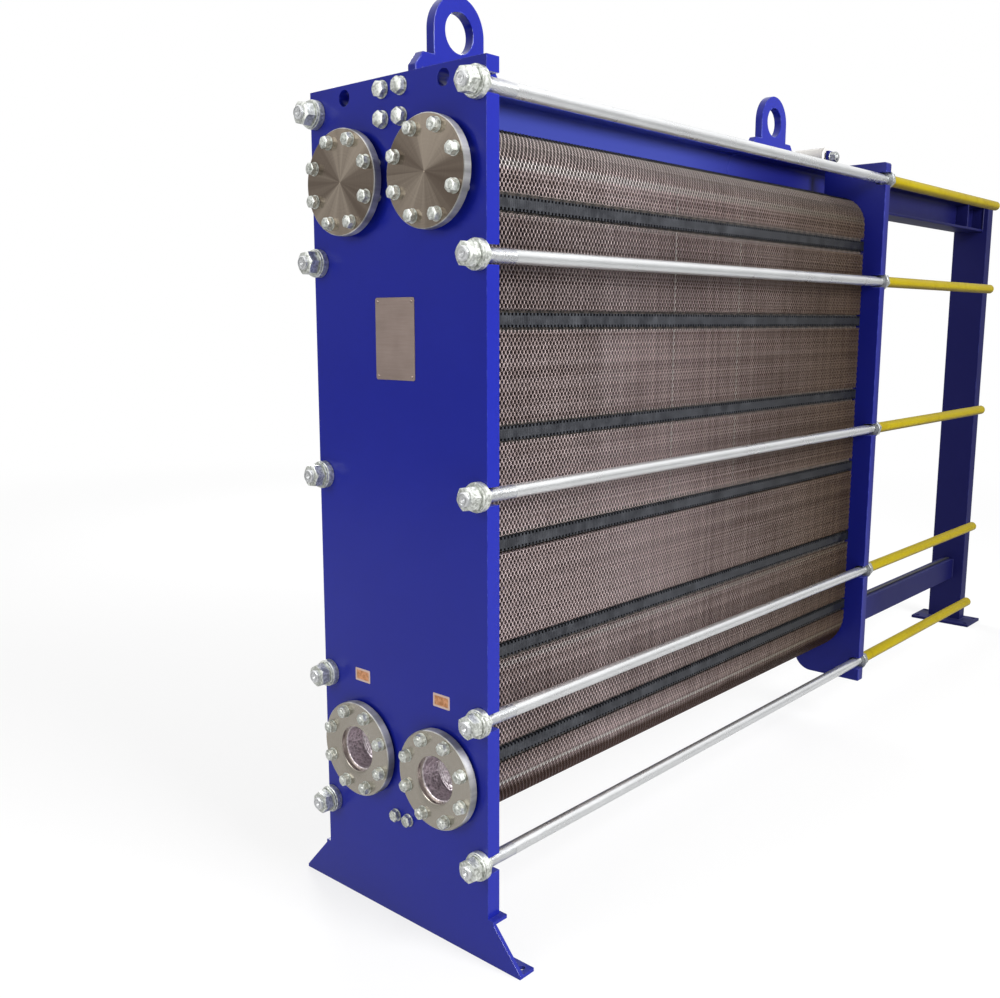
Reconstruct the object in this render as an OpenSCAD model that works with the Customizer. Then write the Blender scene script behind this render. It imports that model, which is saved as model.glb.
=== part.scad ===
// Wide gap plate heat exchanger on its own frame.
// A pack of corrugated plates hangs from an upper beam between a fixed plate and a pressure plate,
// ten tie bolts press the two plates together, and a column carries the far end of the beam.
// Z is up from the floor, Y runs from the fixed plate to the column, X runs across.
// The origin is on the floor, midway between the two anchor holes of the front foot.

/* [End plates] */
// Width of the fixed plate and of the pressure plate
plate_w = 526; // [500:1:600]
// Height of the fixed plate
plate_h = 1748; // [1740:1:1900]
// Thickness of the fixed plate
fixed_t = 36; // [25:1:60]
// Thickness of the pressure plate
pressure_t = 36; // [25:1:60]
// Height of the pressure plate's lower edge above the fixed plate's
pressure_rise = 60; // [20:1:90]
// Radius of the pressure plate's upper corners
pressure_corner_r = 8; // [2:1:20]
// Clear space between the pressure plate and the beam or guide bar in its notches
notch_gap = 6; // [3:1:10]
// Radius at the mouth of the pressure plate's lower notch
mouth_r = 60; // [20:1:80]
// Length from the fixed plate's front face to the column's front face
frame_l = 3375; // [3150:1:3800]

/* [Spare holes in the fixed plate] */
// Diameter of each spare hole
spare_hole_d = 34; // [20:1:40]
// Distance of each spare hole from the centre line
spare_hole_x = 149; // [110:1:180]
// Distance of the spare holes below the plate's top edge
spare_hole_drop = 26; // [24:1:45]

/* [Front foot] */
// Height of the fixed plate's lower edge above the floor
foot_h = 100; // [60:1:160]
// Width of the sole on the floor
foot_w = 708; // [640:1:800]
// Depth of the sole, cap and foot from front to back
foot_d = 44; // [40:1:80]
// Thickness of the sole and of the cap
foot_t = 8; // [6:1:14]
// Thickness of the upright web between the sole and the cap
foot_web_t = 10; // [6:1:14]
// Width of the cap under the fixed plate
foot_cap_w = 556; // [530:1:600]
// Diameter of each anchor hole
anchor_d = 14; // [10:1:18]
// Distance of each anchor hole from the end of the sole
anchor_inset = 18; // [14:1:30]
// Distance of the anchor holes behind the front face
anchor_back = 26; // [22:1:28]

/* [Upper beam] */
// Height of the beam's section
beam_h = 108; // [90:1:130]
// Width of the beam's flanges
beam_w = 104; // [80:1:120]
// Thickness of the beam's flanges
beam_flange_t = 9; // [6:1:14]
// Thickness of the beam's web
beam_web_t = 7; // [5:1:12]
// Thickness of the stiffeners between the flanges
stiffener_t = 10; // [6:1:16]
// Distance of the rear stiffeners in front of the column
stiffener_back = 195; // [100:1:300]
// Depth of the tapped pads in the beam's front end
end_pad_d = 30; // [16:1:40]

/* [Lower guide bar] */
// Height of the bar's underside above the fixed plate's lower edge
guide_rise = 103; // [90:1:115]
// Height of the bar's section
guide_h = 88; // [70:1:100]
// Width of the bar's section
guide_w = 50; // [36:1:60]
// Wall thickness of the bar
guide_wall = 5; // [3:1:8]
// Width of the rail on top of the bar
rail_w = 14; // [8:1:24]
// Height of the rail on top of the bar
rail_h = 5; // [3:1:8]

/* [Column] */
// Width of the column's face
column_w = 140; // [110:1:170]
// Depth of the column's flanges
column_d = 58; // [45:1:80]
// Wall thickness of the column
column_wall = 8; // [5:1:12]
// Width of the base plate
base_w = 252; // [220:1:320]
// Depth of the base plate
base_d = 150; // [130:1:200]
// Thickness of the base plate
base_t = 12; // [8:1:20]
// Distance of the base plate's front edge in front of the column
base_front = 55; // [40:1:60]
// Diameter of each hole in the base plate
base_hole_d = 18; // [12:1:22]
// Distance of each hole from the base plate's edges
base_hole_inset = 20; // [16:1:26]

/* [Plate pack] */
// Number of plates
plate_count = 310; // [260:1:330]
// Thickness that one plate takes up in the closed pack
plate_pitch = 5.8; // [5:0.1:6]
// Width of a plate
pack_w = 404; // [396:1:420]
// Height of the plates' upper edge above the beam's lower flange
pack_rise = 2; // [0:1:10]
// Height of the plates' lower edge above the guide bar's underside
pack_lift = 43; // [30:1:60]
// Radius of the plates' upper corners
pack_top_r = 95; // [60:1:110]
// Radius of the plates' lower corners
pack_bottom_r = 136; // [80:1:140]
// Gap between the plates and the beam or guide bar that they straddle
hang_gap = 2; // [1:0.5:4]
// Length of the hooks that reach over the beam's lower flange
hook_l = 12; // [8:1:18]
// Height of the hooks above the beam's lower flange
hook_h = 16; // [8:1:30]
// Width of the hooks beside the beam's lower flange
hook_w = 18; // [10:1:30]
// Number of grooves round the pack, each one standing for a gap between two plates
groove_count = 12; // [6:1:20]
// Width of a groove
groove_w = 6; // [3:1:10]
// Depth of a groove into the rim of the pack
groove_depth = 9; // [9:1:12]

/* [Gasket bands] */
// Number of bands on each side of the pack
band_count = 6; // [2:1:8]
// Height of a band
band_h = 31; // [20:1:40]
// Depth of a band into the pack
band_depth = 8; // [5:1:12]
// Height of the lowest band's middle above the pack's lower edge
band_low = 174; // [150:1:190]
// Distance of the highest band's middle below the pack's upper edge
band_drop = 158; // [120:1:180]

/* [Ports] */
// Distance of the ports from the centre line
port_x = 128; // [118:1:134]
// Height of the lower ports above the fixed plate's lower edge
port_low = 282; // [270:1:300]
// Distance of the upper ports below the fixed plate's upper edge
port_drop = 203; // [190:1:215]
// Outer diameter of a flange
flange_d = 220; // [210:1:228]
// Thickness of a flange
flange_t = 20; // [16:1:28]
// Diameter of the circle of flange holes
bolt_circle_d = 180; // [176:1:182]
// Number of holes in a flange
bolt_count = 8; // [4:4:8]
// Diameter of a flange hole
bolt_hole_d = 18; // [14:1:20]
// Diameter of the raised ring behind a flange
ring_d = 156; // [140:1:156]
// Height of the raised ring behind a blind flange
ring_t = 14; // [6:1:20]
// Height of the raised ring behind an open flange
open_ring_t = 5; // [3:1:20]
// Inner diameter of the port liner
liner_d = 98; // [80:1:104]
// Wall thickness of the port liner
liner_wall = 4; // [2:1:6]
// Distance of the liner's end behind the open flange's face
liner_back = 14; // [4:1:20]

/* [Tie bolts] */
// Diameter of a tie bolt
rod_d = 30; // [20:1:32]
// Distance of the tie bolts from the centre line
rod_x = 244; // [236:1:250]
// Height of the lowest pair of tie bolts above the fixed plate's lower edge
rod_low = 120; // [80:1:125]
// Distance of the highest pair below the fixed plate's upper edge
rod_drop = 49; // [40:1:55]
// Height from the lowest pair to the next one, and from the highest pair down to the next one
rod_step = 316; // [290:1:330]
// Width of the slots that the tie bolts lie in
slot_w = 38; // [34:1:44]
// Width across the flats of a nut
nut_af = 46; // [42:1:50]
// Height of a nut
nut_h = 24; // [16:1:30]
// Diameter of the front bushing's flange
bushing_d = 62; // [50:1:66]
// Thickness of the front bushing's flange
bushing_t = 16; // [6:1:20]
// Diameter of the front bushing's collar
collar_d = 36; // [33:1:38]
// Length of the front bushing's collar
collar_l = 18; // [8:1:24]
// Diameter of the washers
washer_d = 58; // [50:1:62]
// Thickness of the washers
washer_t = 4; // [2:1:8]
// Length of a tie bolt that stands out of its front nut
rod_tip = 8; // [2:1:14]
// Length of the yellow thread covers
cover_l = 1024; // [700:1:1150]
// Outer diameter of the thread covers
cover_d = 34; // [33:1:40]
// Thickness of the closed end of a thread cover
cover_end_t = 5; // [3:1:10]

/* [Roller] */
// Diameter of the roller
roller_d = 66; // [50:1:90]
// Length of the roller
roller_l = 110; // [80:1:112]
// Diameter of the roller's axle
axle_d = 20; // [12:1:24]
// Length of the axle
axle_l = 186; // [160:1:200]
// Thickness of each bracket
bracket_t = 10; // [8:1:18]
// Height of the bracket above the axle's middle
bracket_top = 20; // [14:1:28]

/* [Lifting lugs] */
// Thickness of a lug
lug_t = 24; // [16:1:40]
// Length of a lug's base
lug_base_l = 260; // [200:1:300]
// Height of a lug's base
lug_base_h = 58; // [40:1:64]
// Length cut off each upper corner of the base
lug_cut_l = 22; // [10:1:30]
// Height cut off each upper corner of the base
lug_cut_h = 28; // [10:1:34]
// Width of a lug's arch
lug_w = 152; // [130:1:180]
// Diameter of a lug's eye
lug_eye_d = 84; // [50:1:90]
// Height of the eye's middle above the beam
lug_eye_z = 112; // [104:1:140]
// Distance of the front lug's middle behind the fixed plate's front face
lug_front_y = 187; // [180:1:260]
// Distance between the two lugs
lug_span = 1385; // [1000:1:1480]

/* [Name plate and stickers] */
// Width of the name plate
name_w = 120; // [80:1:150]
// Height of the name plate
name_h = 172; // [100:1:200]
// Thickness of the name plate
name_t = 1.5; // [1:0.1:3]
// Distance of the name plate's middle below the upper ports
name_drop = 326; // [220:1:600]
// Width of a sticker
sticker_w = 50; // [30:1:70]
// Height of a sticker
sticker_h = 30; // [20:1:50]
// Thickness of a sticker
sticker_t = 0.6; // [0.4:0.1:1]
// Height of the stickers above the lower ports
sticker_rise = 171; // [140:1:200]

/* [Hidden] */
$fn = 64;
eps = 0.5;

front_y = -anchor_back;
fixed_back = front_y + fixed_t;
pack_l = plate_count * plate_pitch;
pressure_y = fixed_back + pack_l;
pressure_back = pressure_y + pressure_t;
column_y = front_y + frame_l;
plate_top = foot_h + plate_h;
pressure_z = foot_h + pressure_rise;
port_z = foot_h + port_low;
port_top_z = plate_top - port_drop;
rod_bottom_z = foot_h + rod_low;
rod_top_z = plate_top - rod_drop;
beam_z = plate_top - beam_h;
beam_l = column_y - fixed_back;
flange_top = beam_z + beam_flange_t;
guide_z = foot_h + guide_rise;
guide_top = guide_z + guide_h;
pack_z = guide_z + pack_lift;
pack_top = flange_top + pack_rise;
pack_h = pack_top - pack_z;
band_step = (pack_h - band_low - band_drop) / (band_count - 1);
anchor_x = foot_w / 2 - anchor_inset;
front_nut_y = front_y - bushing_t - washer_t - nut_h;
rod_front = front_nut_y - rod_tip;
rear_nut_y = pressure_back + washer_t;
cover_y = rear_nut_y + nut_h;
cover_back = cover_y + cover_l;
axle_z = plate_top + roller_d / 2;
notch_half = beam_w / 2 + notch_gap;
throat_w = beam_w - 2 * hook_l;
liner_out_d = liner_d + 2 * liner_wall;
open_face = front_y - open_ring_t - flange_t;
blind_face = front_y - ring_t - flange_t;

BLUE = [0.10, 0.13, 0.58];
ZINC = [0.78, 0.80, 0.78];
STEEL = [0.62, 0.60, 0.56];
PACK = [0.45, 0.42, 0.39];
BLACK = [0.08, 0.08, 0.09];
YELLOW = [0.85, 0.68, 0.08];

// Height of tie bolt number 0 to 4, counted from the floor
function rod_level(i) = [rod_bottom_z, rod_bottom_z + rod_step, (rod_bottom_z + rod_top_z) / 2,
    rod_top_z - rod_step, rod_top_z][i];

// A box centred on x, from y and z upwards
module block(w, d, h, y, z, x = 0) {
    translate([x - w / 2, y, z])
        cube([w, d, h]);
}

// A round bar along +Y from y, centred on x and z
module bar_y(d, l, x, y, z) {
    translate([x, y, z])
        rotate([-90, 0, 0])
            cylinder(d = d, h = l);
}

// A round bar along +X, centred on the middle plane
module bar_x(d, l, y, z) {
    translate([-l / 2, y, z])
        rotate([0, 90, 0])
            cylinder(d = d, h = l);
}

// A flat outline in X and Z, given a thickness from y
module upright(y, t) {
    translate([0, y + t, 0])
        rotate([90, 0, 0])
            linear_extrude(height = t)
                children();
}

// Copies at every tie bolt
module at_rods() {
    for (side = [-1, 1])
        for (i = [0 : 4])
            translate([side * rod_x, 0, rod_level(i)])
                children();
}

// Open slots for the tie bolts, cut in from both edges of an end plate
module rod_slots() {
    for (side = [-1, 1])
        for (i = [0 : 4])
            translate([side * rod_x, rod_level(i)]) {
                circle(d = slot_w);
                translate([side > 0 ? 0 : -plate_w, -slot_w / 2])
                    square([plate_w, slot_w]);
            }
}

// Copies at the four ports
module at_ports() {
    for (side = [-1, 1])
        for (z = [port_z, port_top_z])
            translate([side * port_x, 0, z])
                children();
}

module fixed_plate() {
    color(BLUE)
        difference() {
            upright(front_y, fixed_t)
                difference() {
                    translate([-plate_w / 2, foot_h])
                        square([plate_w, plate_h]);
                    rod_slots();
                }
            at_ports()
                bar_y(liner_out_d, fixed_t + 2 * eps, 0, front_y - eps, 0);
            for (side = [-1, 1])
                bar_y(spare_hole_d, fixed_t + 2 * eps, side * spare_hole_x, front_y - eps,
                    plate_top - spare_hole_drop);
        }
}

module foot_cap() {
    color(BLUE)
        block(foot_cap_w, foot_d, foot_t, front_y, foot_h - foot_t);
}

module foot_web() {
    web_h = foot_h - 2 * foot_t;
    color(BLUE)
        upright(front_y, foot_web_t)
            polygon([[-foot_w / 2, foot_t], [foot_w / 2, foot_t],
                [foot_cap_w / 2, foot_t + web_h], [-foot_cap_w / 2, foot_t + web_h]]);
}

module foot_sole() {
    color(BLUE)
        difference() {
            block(foot_w, foot_d, foot_t, front_y, 0);
            for (side = [-1, 1])
                translate([side * anchor_x, 0, -eps])
                    cylinder(d = anchor_d, h = foot_t + 2 * eps);
        }
}

// Outline of the beam in X and Z
module beam_outline() {
    for (z = [beam_z, plate_top - beam_flange_t])
        translate([-beam_w / 2, z])
            square([beam_w, beam_flange_t]);
    translate([-beam_web_t / 2, beam_z])
        square([beam_web_t, beam_h]);
}

module carrying_beam() {
    color(BLUE)
        upright(fixed_back, beam_l)
            beam_outline();
}

// Plates between the flanges near the column, one on each side of the web
module beam_stiffeners() {
    rib_w = (beam_w - beam_web_t) / 2;
    color(BLUE)
        for (side = [-1, 1])
            block(rib_w, stiffener_t, beam_h - 2 * beam_flange_t, column_y - stiffener_back,
                flange_top, side * (beam_web_t + rib_w) / 2);
}

// Pads beside the web that take the beam's front bolts, inside the throat of the hooks
module beam_end_pads() {
    pad_w = (throat_w - beam_web_t) / 2 - hang_gap;
    color(BLUE)
        for (side = [-1, 1])
            block(pad_w, end_pad_d, beam_h - 2 * beam_flange_t, fixed_back, flange_top,
                side * (beam_web_t + pad_w) / 2);
}

module guide_bar() {
    color(BLUE)
        upright(fixed_back, beam_l)
            difference() {
                translate([-guide_w / 2, guide_z])
                    square([guide_w, guide_h]);
                translate([guide_wall - guide_w / 2, guide_z + guide_wall])
                    square([guide_w - 2 * guide_wall, guide_h - 2 * guide_wall]);
            }
}

module guide_rail() {
    color(ZINC)
        block(rail_w, beam_l, rail_h, fixed_back, guide_top);
}

// A channel with its back to the beam and its flanges pointing away
module support_column() {
    color(BLUE)
        difference() {
            block(column_w, column_d, plate_top - base_t, column_y, base_t);
            block(column_w - 2 * column_wall, column_d, plate_top, column_y + column_wall, 0);
        }
}

module column_base() {
    base_y = column_y - base_front;
    color(BLUE)
        difference() {
            block(base_w, base_d, base_t, base_y, 0);
            for (side = [-1, 1])
                for (y = [base_y + base_hole_inset, base_y + base_d - base_hole_inset])
                    translate([side * (base_w / 2 - base_hole_inset), y, -eps])
                        cylinder(d = base_hole_d, h = base_t + 2 * eps);
        }
}

// Outline of the pressure plate, with a notch for the beam and one for the guide bar
module pressure_outline() {
    corner_x = plate_w / 2 - pressure_corner_r;
    lower_half = guide_w / 2 + notch_gap;
    difference() {
        union() {
            translate([-plate_w / 2, pressure_z])
                square([plate_w, plate_top - pressure_corner_r - pressure_z]);
            translate([-corner_x, plate_top - 2 * pressure_corner_r])
                square([2 * corner_x, 2 * pressure_corner_r]);
            for (side = [-1, 1])
                translate([side * corner_x, plate_top - pressure_corner_r])
                    circle(r = pressure_corner_r);
        }
        translate([-notch_half, beam_z - notch_gap])
            square([2 * notch_half, beam_h + 2 * notch_gap]);
        translate([-lower_half, pressure_z - eps])
            square([2 * lower_half, guide_top + rail_h + notch_gap - pressure_z + eps]);
        difference() {
            translate([-lower_half - mouth_r, pressure_z - eps])
                square([2 * (lower_half + mouth_r), mouth_r + eps]);
            for (side = [-1, 1])
                translate([side * (lower_half + mouth_r), pressure_z + mouth_r])
                    circle(r = mouth_r);
        }
        rod_slots();
    }
}

module pressure_plate() {
    color(BLUE)
        upright(pressure_y, pressure_t)
            pressure_outline();
}

module roller() {
    color(ZINC)
        difference() {
            bar_x(roller_d, roller_l, pressure_y + pressure_t / 2, axle_z);
            bar_x(axle_d, roller_l + 2 * eps, pressure_y + pressure_t / 2, axle_z);
        }
}

module roller_axle() {
    color(ZINC)
        bar_x(axle_d, axle_l, pressure_y + pressure_t / 2, axle_z);
}

// Two upright plates on the pressure plate's upper edge that hold the axle
module roller_brackets() {
    mid_y = pressure_y + pressure_t / 2;
    color(BLUE)
        difference() {
            for (side = [-1, 1])
                block(bracket_t, pressure_t, axle_z + bracket_top - plate_top, pressure_y, plate_top,
                    side * (notch_half + bracket_t / 2));
            bar_x(axle_d, axle_l, mid_y, axle_z);
        }
}

// An eye plate that stands on the beam, with its middle at y
module lifting_lug(y) {
    base = lug_base_l / 2;
    color(BLUE)
        translate([-lug_t / 2, y, plate_top])
            rotate([90, 0, 90])
                linear_extrude(height = lug_t)
                    difference() {
                        union() {
                            polygon([[-base, 0], [base, 0], [base, lug_base_h - lug_cut_h],
                                [base - lug_cut_l, lug_base_h], [lug_cut_l - base, lug_base_h],
                                [-base, lug_base_h - lug_cut_h]]);
                            translate([-lug_w / 2, 0])
                                square([lug_w, lug_eye_z]);
                            translate([0, lug_eye_z])
                                circle(d = lug_w);
                        }
                        translate([0, lug_eye_z])
                            circle(d = lug_eye_d);
                    }
}

// Outline of one plate without its notches, drawn in from its edge by inset
module plate_outline(inset = 0) {
    half = pack_w / 2;
    translate([inset - half, pack_z + pack_bottom_r])
        square([pack_w - 2 * inset, pack_h - pack_top_r - pack_bottom_r]);
    translate([pack_top_r - half, pack_z + pack_bottom_r])
        square([pack_w - 2 * pack_top_r, pack_h - pack_bottom_r - inset]);
    translate([pack_bottom_r - half, pack_z + inset])
        square([pack_w - 2 * pack_bottom_r, 2 * pack_bottom_r]);
    for (side = [-1, 1]) {
        translate([side * (half - pack_top_r), pack_top - pack_top_r])
            circle(r = pack_top_r - inset);
        translate([side * (half - pack_bottom_r), pack_z + pack_bottom_r])
            circle(r = pack_bottom_r - inset);
    }
}

// Shallow grooves round the rim of the pack
module pack_grooves() {
    groove_step = pack_l / (groove_count + 1);
    for (i = [1 : groove_count])
        upright(fixed_back + i * groove_step - groove_w / 2, groove_w)
            difference() {
                translate([-pack_w, 0])
                    square([2 * pack_w, plate_top]);
                plate_outline(groove_depth);
            }
}

// Places of the gasket bands on both sides of the pack
module band_outlines() {
    for (side = [-1, 1])
        for (i = [0 : band_count - 1])
            translate([side * (pack_w - band_depth) / 2, pack_z + band_low + i * band_step])
                square([band_depth, band_h], center = true);
}

// The closed pack: every plate hooks over the beam's lower flange and straddles the guide bar
module plate_pack() {
    slot_half = beam_w / 2 + hang_gap;
    hook_half = slot_half + hook_w;
    foot_notch_w = guide_w + 2 * hang_gap;
    color(PACK)
        difference() {
            upright(fixed_back, pack_l)
                difference() {
                    union() {
                        plate_outline();
                        translate([-hook_half, pack_top - pack_top_r])
                            square([2 * hook_half, flange_top + hook_h - pack_top + pack_top_r]);
                    }
                    translate([-slot_half, beam_z - hang_gap])
                        square([2 * slot_half, beam_flange_t + hang_gap]);
                    translate([-throat_w / 2, flange_top - eps])
                        square([throat_w, hook_h + 2 * eps]);
                    translate([-foot_notch_w / 2, pack_z - eps])
                        square([foot_notch_w, guide_top + rail_h + hang_gap - pack_z + eps]);
                    band_outlines();
                }
            pack_grooves();
        }
}

module gasket_bands() {
    color(BLACK)
        upright(fixed_back, pack_l)
            band_outlines();
}

// A raised ring round one port, of height t
module port_ring(side, z, t) {
    translate([side * port_x, 0, z])
        difference() {
            bar_y(ring_d, t, 0, front_y - t, 0);
            bar_y(liner_out_d, t + 2 * eps, 0, front_y - t - eps, 0);
        }
}

// Raised rings that the flanges seat on
module port_rings() {
    color(STEEL)
        for (side = [-1, 1]) {
            port_ring(side, port_z, open_ring_t);
            port_ring(side, port_top_z, ring_t);
        }
}

// Liners of the two open ports
module port_liners() {
    liner_y = open_face + liner_back;
    color(STEEL)
        for (side = [-1, 1])
            translate([side * port_x, 0, port_z])
                difference() {
                    bar_y(liner_out_d, fixed_back - liner_y, 0, liner_y, 0);
                    bar_y(liner_d, fixed_back - liner_y + 2 * eps, 0, liner_y - eps, 0);
                }
}

// A flange with its face at y and its holes on both sides of the upright centre line
module flange(side, y, z, bore_d) {
    color(STEEL)
        translate([side * port_x, y, z])
            difference() {
                bar_y(flange_d, flange_t, 0, 0, 0);
                for (i = [0 : bolt_count - 1])
                    rotate([0, (i + 0.5) * 360 / bolt_count, 0])
                        bar_y(bolt_hole_d, flange_t + 2 * eps, 0, -eps, bolt_circle_d / 2);
                if (bore_d > 0)
                    bar_y(bore_d, flange_t + 2 * eps, 0, -eps, 0);
            }
}

// One tie bolt: side is -1 or 1, level is 0 to 4 from the floor
module tie_rod(side, level) {
    color(ZINC)
        bar_y(rod_d, cover_back - cover_end_t - rod_front, side * rod_x, rod_front, rod_level(level));
}

// Flanged bushings that bridge the slots of the fixed plate
module front_bushings() {
    color(ZINC)
        at_rods()
            difference() {
                union() {
                    bar_y(bushing_d, bushing_t, 0, front_y - bushing_t, 0);
                    bar_y(collar_d, collar_l, 0, front_y, 0);
                }
                bar_y(rod_d, fixed_t, 0, front_y - 2 * bushing_t, 0);
            }
}

// Six-sided nuts around the tie bolts, from y
module nuts(y) {
    color(ZINC)
        at_rods()
            difference() {
                translate([0, y, 0])
                    rotate([-90, 0, 0])
                        cylinder(d = nut_af / cos(30), h = nut_h, $fn = 6);
                bar_y(rod_d, nut_h + 2 * eps, 0, y - eps, 0);
            }
}

// Round washers around the tie bolts, from y
module washers(y) {
    color(ZINC)
        at_rods()
            difference() {
                bar_y(washer_d, washer_t, 0, y, 0);
                bar_y(rod_d, washer_t + 2 * eps, 0, y - eps, 0);
            }
}

// Yellow covers over the threads behind the pressure plate, closed at the far end
module thread_covers() {
    color(YELLOW)
        at_rods()
            difference() {
                bar_y(cover_d, cover_l, 0, cover_y, 0);
                bar_y(rod_d, cover_l - cover_end_t, 0, cover_y, 0);
            }
}

module name_plate() {
    color(STEEL)
        block(name_w, name_t, name_h, front_y - name_t, port_top_z - name_drop - name_h / 2);
}

module stickers() {
    color("orange")
        for (side = [-1, 1])
            block(sticker_w, sticker_t, sticker_h, front_y - sticker_t,
                port_z + sticker_rise - sticker_h / 2, side * port_x);
}

fixed_plate();
foot_cap();
foot_web();
foot_sole();
carrying_beam();
beam_end_pads();
beam_stiffeners();
guide_bar();
guide_rail();
support_column();
column_base();
pressure_plate();
roller();
roller_axle();
roller_brackets();
lifting_lug(front_y + lug_front_y);  // lifting_lug_front
lifting_lug(front_y + lug_front_y + lug_span);  // lifting_lug_rear
plate_pack();
gasket_bands();
port_rings();
port_liners();
flange(-1, blind_face, port_top_z, 0);  // blind_flange_left
flange(1, blind_face, port_top_z, 0);  // blind_flange_right
flange(-1, open_face, port_z, liner_out_d);  // open_flange_left
flange(1, open_face, port_z, liner_out_d);  // open_flange_right
tie_rod(-1, 0);  // tie_rod_left_1
tie_rod(-1, 1);  // tie_rod_left_2
tie_rod(-1, 2);  // tie_rod_left_3
tie_rod(-1, 3);  // tie_rod_left_4
tie_rod(-1, 4);  // tie_rod_left_5
tie_rod(1, 0);  // tie_rod_right_1
tie_rod(1, 1);  // tie_rod_right_2
tie_rod(1, 2);  // tie_rod_right_3
tie_rod(1, 3);  // tie_rod_right_4
tie_rod(1, 4);  // tie_rod_right_5
front_bushings();
washers(front_y - bushing_t - washer_t);  // front_washers
nuts(front_nut_y);  // front_nuts
washers(pressure_back);  // rear_washers
nuts(rear_nut_y);  // rear_nuts
thread_covers();
name_plate();
stickers();
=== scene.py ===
# %% [markdown]
# # Dressing a wide gap plate heat exchanger
#
# The real machine hangs about three hundred thin steel plates on a beam and squeezes them
# between two thick end plates with ten long tie bolts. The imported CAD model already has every
# part at its real size. This lesson loads it as a fixed frame and gives each part the shape
# details and the finish that a maker would see: eased edges, turned nuts, wavy plate rims,
# welds, and paint that gathers a little dust.

import math
import random

import bmesh
import bpy
from mathutils import Matrix, Vector


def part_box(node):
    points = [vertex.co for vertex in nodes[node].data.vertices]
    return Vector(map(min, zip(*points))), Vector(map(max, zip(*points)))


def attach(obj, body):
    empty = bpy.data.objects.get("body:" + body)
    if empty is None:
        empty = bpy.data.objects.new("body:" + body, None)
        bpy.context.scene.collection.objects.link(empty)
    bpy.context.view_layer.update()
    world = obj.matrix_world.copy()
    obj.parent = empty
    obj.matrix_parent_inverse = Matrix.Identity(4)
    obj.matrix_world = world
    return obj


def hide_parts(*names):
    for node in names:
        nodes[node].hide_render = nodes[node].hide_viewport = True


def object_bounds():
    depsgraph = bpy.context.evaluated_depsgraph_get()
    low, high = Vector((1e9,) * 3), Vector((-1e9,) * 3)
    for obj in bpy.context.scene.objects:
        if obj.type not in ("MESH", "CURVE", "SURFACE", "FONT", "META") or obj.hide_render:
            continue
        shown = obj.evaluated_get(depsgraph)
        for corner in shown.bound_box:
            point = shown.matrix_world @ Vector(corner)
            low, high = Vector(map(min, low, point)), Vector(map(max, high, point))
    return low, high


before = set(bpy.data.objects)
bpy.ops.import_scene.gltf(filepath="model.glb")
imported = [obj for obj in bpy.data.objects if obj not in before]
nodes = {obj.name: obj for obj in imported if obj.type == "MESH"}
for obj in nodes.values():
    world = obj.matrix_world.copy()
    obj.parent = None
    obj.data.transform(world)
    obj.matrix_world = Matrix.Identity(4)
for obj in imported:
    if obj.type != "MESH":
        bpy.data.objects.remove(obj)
cad_low, cad_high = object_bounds()
print(len(nodes), "parts, overall size in metres:", [round(s, 3) for s in cad_high - cad_low])

# %% [markdown]
# ## The camera
#
# The camera stands to the right of the machine, at about the height of a person's chest, and
# looks along its side. Its place is found by lining up known corners of the frame. It could be
# turned with a Track To constraint, but three plain angles are easier to read and to repeat.

# %% Camera
def placed(name, data):
    """A new object made of data, in the scene."""
    thing = bpy.data.objects.new(name, data)
    bpy.context.scene.collection.objects.link(thing)
    return thing


FILM = 36.0
view_yaw, view_pitch = math.radians(42.184), math.radians(-9.382)
camera_data = bpy.data.cameras.new("camera")
camera_data.sensor_width = FILM
camera_data.lens = 1067.4 / 1000 * FILM
camera_data.clip_end = 200.0
camera = placed("camera", camera_data)
camera.location = (1.6872, -1.5598, 1.3531)
camera.rotation_euler = (math.pi / 2 + view_pitch, 0.0, view_yaw)
bpy.context.scene.camera = camera
bpy.context.scene.view_settings.view_transform = "Standard"
print("lens", round(camera_data.lens, 2), "mm")

# %% [markdown]
# ## Sums on sockets
#
# A finish is a small network of nodes. Wiring it by hand takes many lines, so one small class
# wraps an output socket and lets Python's own signs add the Math nodes. Everything else goes
# through one method, `add`, which takes a node's type, its settings and its inputs.

# %% Wires
MM = 0.001    # Blender measures in metres, a workshop in millimetres


class Wire:
    """An output socket that can stand in a sum."""

    def __init__(self, finish, socket):
        self.finish, self.socket = finish, socket

    def __add__(self, other):
        return self.finish.maths("ADD", self, other)

    def __sub__(self, other):
        return self.finish.maths("SUBTRACT", self, other)

    def __rsub__(self, other):
        return self.finish.maths("SUBTRACT", other, self)

    def __mul__(self, other):
        return self.finish.maths("MULTIPLY", self, other)

    __radd__ = __add__
    __rmul__ = __mul__


print("a wire can be added, taken away and multiplied")


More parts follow.
